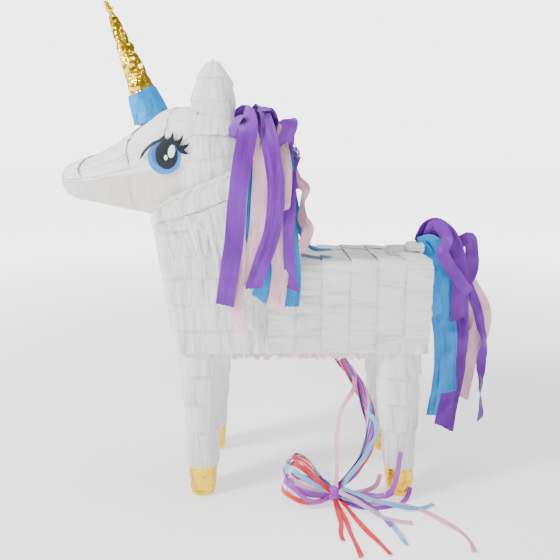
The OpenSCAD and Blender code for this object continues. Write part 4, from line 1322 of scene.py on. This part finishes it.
class PINATA_OT_horn(bpy.types.Operator):
    """Gold foil horn with its twisted tip, and the blue tissue collar at its foot"""
    bl_idname = "pinata.horn"
    bl_label = "Horn"

    def execute(self, context):
        colours = context.scene.pinata_colours
        lo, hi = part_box("horn_foil")
        lean = math.radians(19.8)
        axis = np.array([-math.sin(lean), 0, math.cos(lean)])
        ahead, aside = np.array([-math.cos(lean), 0, -math.sin(lean)]), np.array([0.0, 1.0, 0.0])
        length = 0.137
        tip = np.array([lo.x + 0.0016, 0.0, hi.z - 0.0005])
        foot = tip - axis * length

        def ring(turn, along, radius):
            return (foot + axis * along[..., None] + ahead * (radius * np.cos(turn))[..., None]
                    + aside * (radius * np.sin(turn))[..., None])

        u = np.linspace(0, 1, 110, endpoint=False)
        v = np.concatenate([np.linspace(0.08, 0.88, 110), np.linspace(0.885, 1.0, 34)])
        U, V = np.meshgrid(u, v, indexing="ij")
        turn, along = 2 * np.pi * U, V * length
        cone_part = np.clip(V / 0.905, 0, 1)
        radius = 17.8 * MM + (3.6 - 17.8) * MM * cone_part
        # wrapped foil: a lapped edge that climbs the cone, and shallow pleats
        lap = (turn + 2 * np.pi * V) % (2 * np.pi) / (2 * np.pi)
        radius = radius * (1 + 0.035 * np.sin(5 * turn + 9 * V) + 0.06 * (lap - 0.5))
        twist = np.clip((V - 0.885) / 0.115, 0, 1)
        pinch = 1 - 0.45 * np.sin(np.clip((V - 0.86) / 0.07, 0, 1) * np.pi)
        flare = 1 + 0.5 * np.sin(2 * turn + 18 * twist) * np.clip(twist * 4, 0, 1)
        radius = radius * pinch * np.where(V > 0.885, flare * (1 - 0.55 * twist), 1)
        radius[:, -1] = 0.05 * MM
        P = ring(turn, along, radius)
        bend = twist ** 2 * 0.0016
        P = P + ahead * bend[..., None]
        down = -np.gradient(P, axis=1)
        N = unit(np.cross(np.roll(P, -1, 0) - np.roll(P, 1, 0), down))
        N *= np.sign((N * (P - ring(turn, along, radius * 0))).sum(-1, keepdims=True))
        wrap = np.stack([17 * MM * np.cos(turn), 17 * MM * np.sin(turn), along * CREASE_RUN * 3.2], -1)
        calm = 0.25 + 0.75 * np.clip((1 - V) / 0.25, 0, 1)
        horn = Paper()
        horn.add(P, N * calm[..., None], 0.45 * MM * np.ones_like(V), unit(down), wrap, 0.6, 0.0, loop=True)
        foil = foil_material("Gold foil of the horn", colours.gold)
        piece = horn.piece("horn_wrap", foil, slot="foil_gold", merge=True,
                           crinkle={**crinkles(crease_depth=4.0, crease_spacing=8.0, buckle_depth=3.0, buckle_size=16,
                                               facet_depth=3.4, facet_size=13, edge_wave=0), "Seed": 4.0})
        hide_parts("horn_foil")

        blue = paper_material("Blue tissue collar", colours.blue, tuple(c * 0.55 for c in colours.blue), rough=0.5,
                              spacing=0.0022, bump=0.5, blotch=0.5)
        collar = Paper()
        for layer, (low, top, stand) in enumerate(((0.0, 0.0355, 0.0), (0.0, 0.026, 1.0))):
            def wrapper(U, V, off, low=low, top=top, stand=stand):
                turn = 2 * np.pi * U
                start = 0.0045 + 0.0030 * np.cos(turn)
                along = top + 0.0015 * np.sin(turn * 2 + 1) + (start - 0.003 - top) * V
                radius = (15.6 + 5.0 * V) * MM + off + stand * MM * 0.7
                return ring(turn, along, radius)
            lay(collar, wrapper, 0.115, 0.034, row_columns(0.125), 26, loop=True, seed=0.8 + layer,
                lift=(0.3 * MM, 1.2 * MM))
        piece = collar.piece("horn_collar_tissue", blue, slot="tissue_blue",
                             crinkle=crinkles(crease_depth=4.0, crease_spacing=5.0, buckle_depth=4.5, buckle_size=13,
                                              facet_depth=1.2, facet_size=8, edge_wave=3.0))
        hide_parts("horn_collar")
        return {"FINISHED"}


# ---------------------------------------------------------------- mane and tail streamers, in millimetres

# name, tissue, width, points (x, y, z, turn of the strip about its own line in degrees)
MANE = (
    ("purple_1", "purple", 20, [(-46, -24, 439, 0), (-40, -50, 434, 10), (-38, -68, 419, 0), (-43, -79, 389, -8),
                                (-49, -80, 349, 12), (-53, -81, 308, -14), (-60, -81, 265, 12), (-64, -81, 238, 0)]),
    ("purple_2", "purple", 18, [(-26, -30, 440, 0), (-20, -58, 424, 12), (-14, -74, 399, 0), (-9, -80, 359, 14),
                                (-13, -81, 318, -10), (-24, -82, 285, 10), (-33, -83, 257, 20)]),
    ("purple_3", "purple", 12, [(2, -30, 398, 0), (6, -60, 375, 20), (5, -76, 344, 10), (4, -78, 308, -10),
                                (5, -78, 276, 12), (9, -78, 254, 0)]),
    ("pink_1", "pink", 22, [(-34, -28, 436, 0), (-26, -56, 420, -8), (-22, -71, 394, 8), (-24, -76, 349, -6),
                            (-28, -76, 307, 8), (-39, -77, 259, -4)]),
    ("pink_2", "pink", 18, [(-16, -24, 430, 0), (-8, -52, 412, 8), (-2, -69, 382, -6), (-3, -75, 349, 8),
                            (-8, -75, 313, -8), (-5, -76, 275, 8), (-10, -76, 232, 0)]),
    ("pink_3", "pink", 13, [(-2, -8, 404, 0), (12, -20, 370, 20), (23, -26, 358, 40), (19, -38, 342, 70),
                            (19, -48, 328, 30), (25, -52, 316, 0), (17, -58, 297, -20), (6, -61, 296, -10)]),
    ("pink_4", "pink", 11, [(-42, -26, 437, 0), (-38, -58, 421, 0), (-41, -72, 384, 10), (-46, -76, 330, -10),
                            (-48, -78, 268, 20), (-53, -78, 237, 0), (-47, -77, 209, 30)]),
    ("blue_1", "blue", 17, [(-24, -30, 430, 0), (-28, -62, 404, 0), (-31, -71, 349, 8), (-34, -71, 312, -10),
                            (-20, -71, 277, 10), (-28, -71, 242, 0)]),
    ("blue_2", "blue", 21, [(-4, -24, 412, 0), (-1, -55, 385, 0), (0, -70, 337, -8), (4, -72, 302, 8),
                            (7, -73, 264, -8), (5, -73, 235, 0)]),
    ("blue_3", "blue", 22, [(2, 4, 392, 50), (10, -6, 345, 66), (19, -18, 309, 70), (28, -30, 296, 72),
                            (38, -39, 293, 76), (50, -43, 293, 80)]),
)
TAIL = (
    ("blue_1", "blue", 22, [(158, -2, 296, 50), (170, -6, 297, 30), (181, -9, 281, 0), (187, -12, 250, 8),
                            (193, -14, 208, -8), (196, -16, 182, 8), (197, -18, 150, -6), (198, -20, 113, 0)]),
    ("blue_2", "blue", 13, [(160, -6, 294, 40), (170, -10, 278, 0), (177, -14, 236, 10), (182, -16, 199, -10),
                            (187, -18, 158, 10), (185, -20, 116, -10), (180, -21, 84, 0)]),
    ("purple_1", "purple", 24, [(156, 2, 296, 60), (172, 0, 312, 20), (184, -4, 300, -10), (194, -6, 296, 20),
                                (206, -6, 262, 10), (210, -6, 215, -12), (211, -8, 180, 10), (209, -9, 134, -8),
                                (204, -10, 100, 8), (200, -10, 62, 0)]),
    ("purple_2", "purple", 15, [(160, 4, 296, 60), (176, 4, 306, 40), (192, 2, 297, 20), (207, 0, 296, 10),
                                (218, -2, 300, 0), (222, -2, 284, 8), (223, -4, 262, -8), (212, -8, 243, 10),
                                (199, -10, 222, 0)]),
    ("purple_3", "purple", 11, [(158, 8, 295, 60), (178, 8, 302, 40), (204, 8, 286, 20), (222, 6, 245, 0),
                                (236, 4, 212, 30), (245, 3, 173, -30), (246, 2, 134, 60), (248, 2, 101, 100),
                                (250, 1, 66, 150)]),
    ("purple_4", "purple", 14, [(162, -2, 300, 60), (174, -10, 318, 10), (186, -20, 303, 30), (181, -25, 286, 20),
                                (191, -26, 268, -20), (205, -25, 250, 10), (216, -22, 238, 0)]),
    ("purple_5", "purple", 17, [(158, 6, 298, 60), (166, 4, 309, 20), (178, -4, 316, -20), (190, -14, 306, 10),
                                (199, -18, 288, 25), (203, -18, 262, -15), (205, -17, 232, 10), (206, -16, 204, 0)]),
    ("pink_1", "pink", 26, [(160, 10, 294, 60), (180, 10, 292, 30), (206, 9, 262, 10), (226, 8, 236, -8),
                            (240, 8, 211, 8), (243, 8, 188, -10), (234, 8, 160, 8), (227, 8, 128, -8),
                            (223, 8, 96, 0)]),
    ("pink_2", "pink", 20, [(162, 12, 292, 60), (184, 14, 280, 30), (208, 13, 240, 8), (222, 12, 205, -10),
                            (228, 12, 168, 10), (232, 12, 130, 0)]),
)


FAR_TOO = ("purple_1", "purple_2", "pink_1", "pink_2", "blue_1", "blue_2")    # the far side has these as well


def flipped(points):
    return [(x + 3, -y, z, -turn) for x, y, z, turn in points]


def streamer(name, width, points, material, slot, holder, hint=-1.0, seed=0.0, rests_over=False, fold=2.0):
    """One tissue streamer: a crinkled strip of the given width along a smooth line through its points."""
    sizes = bpy.context.scene.pinata_sizes
    points = np.array(points, float)
    if hint and abs(points[0, 1]) > 8 and rests_over:
        first = points[0]
        points = np.vstack([[first[0], -0.25 * first[1], first[2] - 2, first[3]], points])
    line, length = smooth_path(np.column_stack([points[:, :3] * MM, points[:, 3]]), 2.6 * MM)
    tangent = unit(np.gradient(line[:, :3], axis=0))
    base = np.array([0.0, hint, 0.0])
    base = unit(base - (tangent @ base)[:, None] * tangent)
    turn = np.radians(line[:, 3:])
    facing = base * np.cos(turn) + np.cross(tangent, base) * np.sin(turn)
    paper = Paper()
    strip(paper, line[:, :3], facing, width * MM, sizes.tissue, columns=max(9, int(width / 1.5)), seed=seed,
          curl=0.10 * math.sin(seed * 3), fray=0.006)
    piece = paper.piece(name, material, slot=slot,
                        crinkle={**crinkles(crease_depth=2.4, crease_spacing=6.5, buckle_depth=4.6, buckle_size=26,
                                            facet_depth=fold, facet_size=17, edge_wave=0), "Seed": seed})
    return piece


def hang(group, rows, tissue, holder, first_seed, stand_in=True, **style):
    """Streamers of the mane or the tail. The first of each colour stands for that colour's node."""
    shown = set()
    for seed, (name, colour, width, points) in enumerate(rows, first_seed):
        piece = streamer(f"{group}_{name}", width, points, tissue[colour], f"tissue_{colour}", [holder],
                         seed=float(seed), **style)
        if stand_in and colour not in shown:
            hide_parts(f"{group}_{colour}")
            shown.add(colour)


class PINATA_OT_streamers(bpy.types.Operator):
    """Tissue streamers of the mane and the tail, with the folded bunch and the crepe wrap that hold them"""
    bl_idname = "pinata.streamers"
    bl_label = "Mane and tail"

    def execute(self, context):
        colours = context.scene.pinata_colours
        tissue = {c: paper_material(f"{c.capitalize()} tissue", getattr(colours, c),
                                    tuple(v * 0.62 for v in getattr(colours, c)), rough=0.5, spacing=0.0035,
                                    bump=0.35, blotch=0.45, sheen=0.2) for c in ("purple", "pink", "blue")}
        bunch = Paper()
        folds = ((-40, 437, 20, 0.0), (-31, 441, 17, 0.9), (-22, 440, 21, 1.7), (-13, 431, 18, 2.6), (-5, 419, 20, 3.4),
                 (2, 402, 17, 4.1), (6, 389, 15, 5.0))
        for x, z, width, seed in folds:
            y = np.array([58, 48, 34, 16, 0, -16, -34, -50, -64.0])
            rise = np.array([-36, -15, -4, 0, 1, 0, -4, -15, -40.0]) + 3.5 * np.sin(y / 15 + seed * 2)
            path = np.stack([x + 5 * np.sin(y / 17 + seed * 3), y, z + rise], -1)
            line, _ = smooth_path(path * MM, 3 * MM)
            tilt = 0.75 * np.sin(line[:, 1] / (19 * MM) + seed * 2.3)
            up = np.stack([0.35 + tilt, line[:, 1] * 14, np.ones(len(line))], -1)
            strip(bunch, line, up, width * MM, 0.5 * MM, columns=16, seed=seed, curl=0.28)
        for x, y, z, size, swing, lean in ((-39, -52, 424, 13, 3.5, 0.35), (-24, -48, 433, 14, 0.9, -0.2),
                                           (-12, -52, 416, 19, -0.9, 0.35), (-6, -40, 405, 14, 0.2, -0.6),
                                           (-36, 44, 430, 15, 2.6, 0.2), (-12, 46, 422, 18, 0.8, -0.2)):
            turn = np.linspace(-2.6, 2.5, 34)
            reach = size * (0.75 + 0.45 * np.cos(turn))
            line = np.stack([x + reach * math.cos(swing) + lean * size * np.sin(turn),
                             y + reach * math.sin(swing) * 0.5, z + size * 0.8 * np.sin(turn)], -1)
            up = np.stack([np.cos(turn) * math.cos(swing), np.cos(turn) * math.sin(swing) + 0.25 * np.sign(y),
                           np.sin(turn)], -1)
            strip(bunch, line * MM, up, 17 * MM, 0.5 * MM, columns=14, seed=z * 0.1)
        piece = bunch.piece("mane_folds", tissue["purple"], slot="tissue_purple",
                            crinkle=crinkles(crease_depth=3.0, crease_spacing=7, buckle_depth=5.0, buckle_size=18,
                                             edge_wave=2))
        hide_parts("mane_bunch")
        hang("mane", MANE, tissue, piece, 1, rests_over=True)
        near = {name: rest for name, *rest in MANE}
        far = [(f"far_{name}", *near[name][:2], flipped(near[name][2])) for name in FAR_TOO]
        hang("mane", far, tissue, piece, len(MANE) + 1, stand_in=False, hint=1.0)

        lo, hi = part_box("tail_wrap")
        wrap_paper = Paper()
        for i, (x0, x1) in enumerate(((lo.x - 0.001, lo.x + 0.010), (lo.x + 0.007, hi.x - 0.003))):
            def root_wrap(U, V, off, x0=x0, x1=x1, closed=i == 0):
                turn = 2 * np.pi * U
                half_z, half_y = (hi.z - lo.z) / 2, (hi.y - lo.y) / 2
                gather = 0.06 + 0.94 * np.clip(V / 0.35, 0, 1) ** 0.5 if closed else 1.0
                pleat = 1 + 0.10 * np.sin(9 * turn + 3 * V) * gather
                y = (half_y - 0.002 + off) * signed_power(np.cos(turn), 0.85) * gather * pleat
                z = (half_z - 0.002 + off) * signed_power(np.sin(turn), 0.85) * gather * pleat
                return np.stack([x0 + (x1 - x0) * V, y, lo.z + half_z + z], -1)
            lay(wrap_paper, root_wrap, 0.08, 0.014, 70, 10, loop=True, seed=i * 0.8, lift=(0.2 * MM, 1.6 * MM))
        wrap_piece = wrap_paper.piece("tail_root_wrap", crepe(), slot="crepe_white",
                                      crinkle=crinkles(crease_depth=1.6, buckle_depth=2, buckle_size=12))
        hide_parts("tail_wrap")
        hang("tail", TAIL, tissue, wrap_piece, len(MANE) + len(FAR_TOO) + 1, fold=6.0)
        return {"FINISHED"}


# ---------------------------------------------------------------- belly fringe

def fringe_tree():
    """Geometry nodes: short paper strands of uneven length hung side by side along a line."""
    name = "Hanging fringe"
    if name in bpy.data.node_groups:
        return bpy.data.node_groups[name]
    tree, start = geometry_tree(name, (("Spacing", 0.0016), ("Strand width", 0.0048), ("Strand length", 0.0095),
                                       ("Strand thickness", 0.0004)), seed=3)
    curve = add_node(tree, "GeometryNodeMeshToCurve", {"Mesh": start["Geometry"]})
    points = add_node(tree, "GeometryNodeCurveToPoints", {"Curve": curve.outputs[0], "Length": start["Spacing"]},
                      mode="LENGTH")
    size = add_node(tree, "ShaderNodeCombineXYZ", {0: start["Strand width"], 1: start["Strand thickness"],
                                                   2: start["Strand length"]})
    cube = add_node(tree, "GeometryNodeMeshCube", {"Size": size.outputs[0], "Vertices X": 3, "Vertices Y": 2,
                                                   "Vertices Z": 5})
    drop = add_node(tree, "ShaderNodeCombineXYZ", {2: maths(tree, "MULTIPLY", start["Strand length"], -0.5)})
    hung = add_node(tree, "GeometryNodeTransform", {"Geometry": cube.outputs[0], "Translation": drop.outputs[0]})

    def random(low, high, offset):
        return add_node(tree, "FunctionNodeRandomValue",
                        {0: low, 1: high, "Seed": maths(tree, "ADD", start["Seed"], offset)},
                        data_type="FLOAT_VECTOR").outputs[0]
    strands = add_node(tree, "GeometryNodeInstanceOnPoints",
                       {"Points": points.outputs["Points"], "Instance": hung.outputs[0],
                        "Rotation": random((-0.35, -0.35, -0.5), (0.35, 0.35, 0.5), 1.0),
                        "Scale": random((0.7, 1.0, 0.45), (1.25, 1.0, 1.15), 2.0)})
    real = add_node(tree, "GeometryNodeRealizeInstances", {"Geometry": strands.outputs[0]})
    where = add_node(tree, "GeometryNodeInputPosition").outputs[0]
    ripple = add_node(tree, "ShaderNodeTexNoise", {"Vector": where, "Scale": 260.0, "Detail": 1.0})
    push = add_node(tree, "ShaderNodeCombineXYZ",
                    {0: maths(tree, "MULTIPLY", maths(tree, "SUBTRACT", ripple.outputs[0], 0.5), 0.0012),
                     1: maths(tree, "MULTIPLY", maths(tree, "SUBTRACT", ripple.outputs[0], 0.5), 0.0016)})
    moved = add_node(tree, "GeometryNodeSetPosition", {"Geometry": real.outputs[0], "Offset": push.outputs[0]})
    done = add_node(tree, "GeometryNodeSetMaterial", {"Geometry": moved.outputs[0], "Material": start["Material"]})
    add_node(tree, "NodeGroupOutput", {"Geometry": done.outputs[0]})
    return tree


class PINATA_OT_fringe(bpy.types.Operator):
    """Pale pink fringe under the edge of the belly"""
    bl_idname = "pinata.fringe"
    bl_label = "Belly fringe"

    def execute(self, context):
        colours = context.scene.pinata_colours
        blush = paper_material("Blush crepe", colours.blush, tuple(c * 0.9 for c in colours.blush), blotch=0.5)
        lo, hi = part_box("belly_fringe")
        mesh = bpy.data.meshes.new("belly_strands")
        points, edges = [], []
        for y in (lo.y + 0.0015, hi.y - 0.0015):
            base = len(points)
            xs = np.linspace(lo.x, hi.x, 40)
            points += [(x, y + 0.0006 * math.sin(x * 400), hi.z + 0.001) for x in xs]
            edges += [(base + i, base + i + 1) for i in range(len(xs) - 1)]
        mesh.from_pydata(points, edges, [])
        obj = link("belly_strands", mesh)
        apply_tree(obj, fringe_tree(), Material=blush)
        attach(obj, "root")
        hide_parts("belly_fringe")
        return {"FINISHED"}


# ---------------------------------------------------------------- panel and registration

class PINATA_PT_sidebar(bpy.types.Panel):
    """Lists the pieces of the pinata"""
    bl_idname = "PINATA_PT_sidebar"
    bl_label = "Pinata"
    bl_space_type = "VIEW_3D"
    bl_region_type = "UI"
    bl_category = "Pinata"

    def draw(self, context):
        for cls in BUILD_ORDER:
            self.layout.operator(cls.bl_idname)
        for settings in (context.scene.pinata_sizes, context.scene.pinata_colours):
            box = self.layout.box()
            for key in settings.bl_rna.properties.keys():
                if key not in ("rna_type", "name"):
                    box.prop(settings, key)


BUILD_ORDER = (PINATA_OT_stage, PINATA_OT_ribbons, PINATA_OT_board, PINATA_OT_body_paper, PINATA_OT_legs,
               PINATA_OT_head, PINATA_OT_eyes, PINATA_OT_horn, PINATA_OT_streamers, PINATA_OT_fringe)
CLASSES = (PinataSizes, PinataColours, *BUILD_ORDER, PINATA_PT_sidebar)


def register():
    for cls in CLASSES:
        bpy.utils.register_class(cls)
    bpy.types.Scene.pinata_sizes = bpy.props.PointerProperty(type=PinataSizes)
    bpy.types.Scene.pinata_colours = bpy.props.PointerProperty(type=PinataColours)


def unregister():
    del bpy.types.Scene.pinata_colours
    del bpy.types.Scene.pinata_sizes
    for cls in reversed(CLASSES):
        bpy.utils.unregister_class(cls)


def main():
    register()
    for cls in BUILD_ORDER:
        group, call = cls.bl_idname.split(".")
        getattr(getattr(bpy.ops, group), call)()


if __name__ == "__main__":
    main()
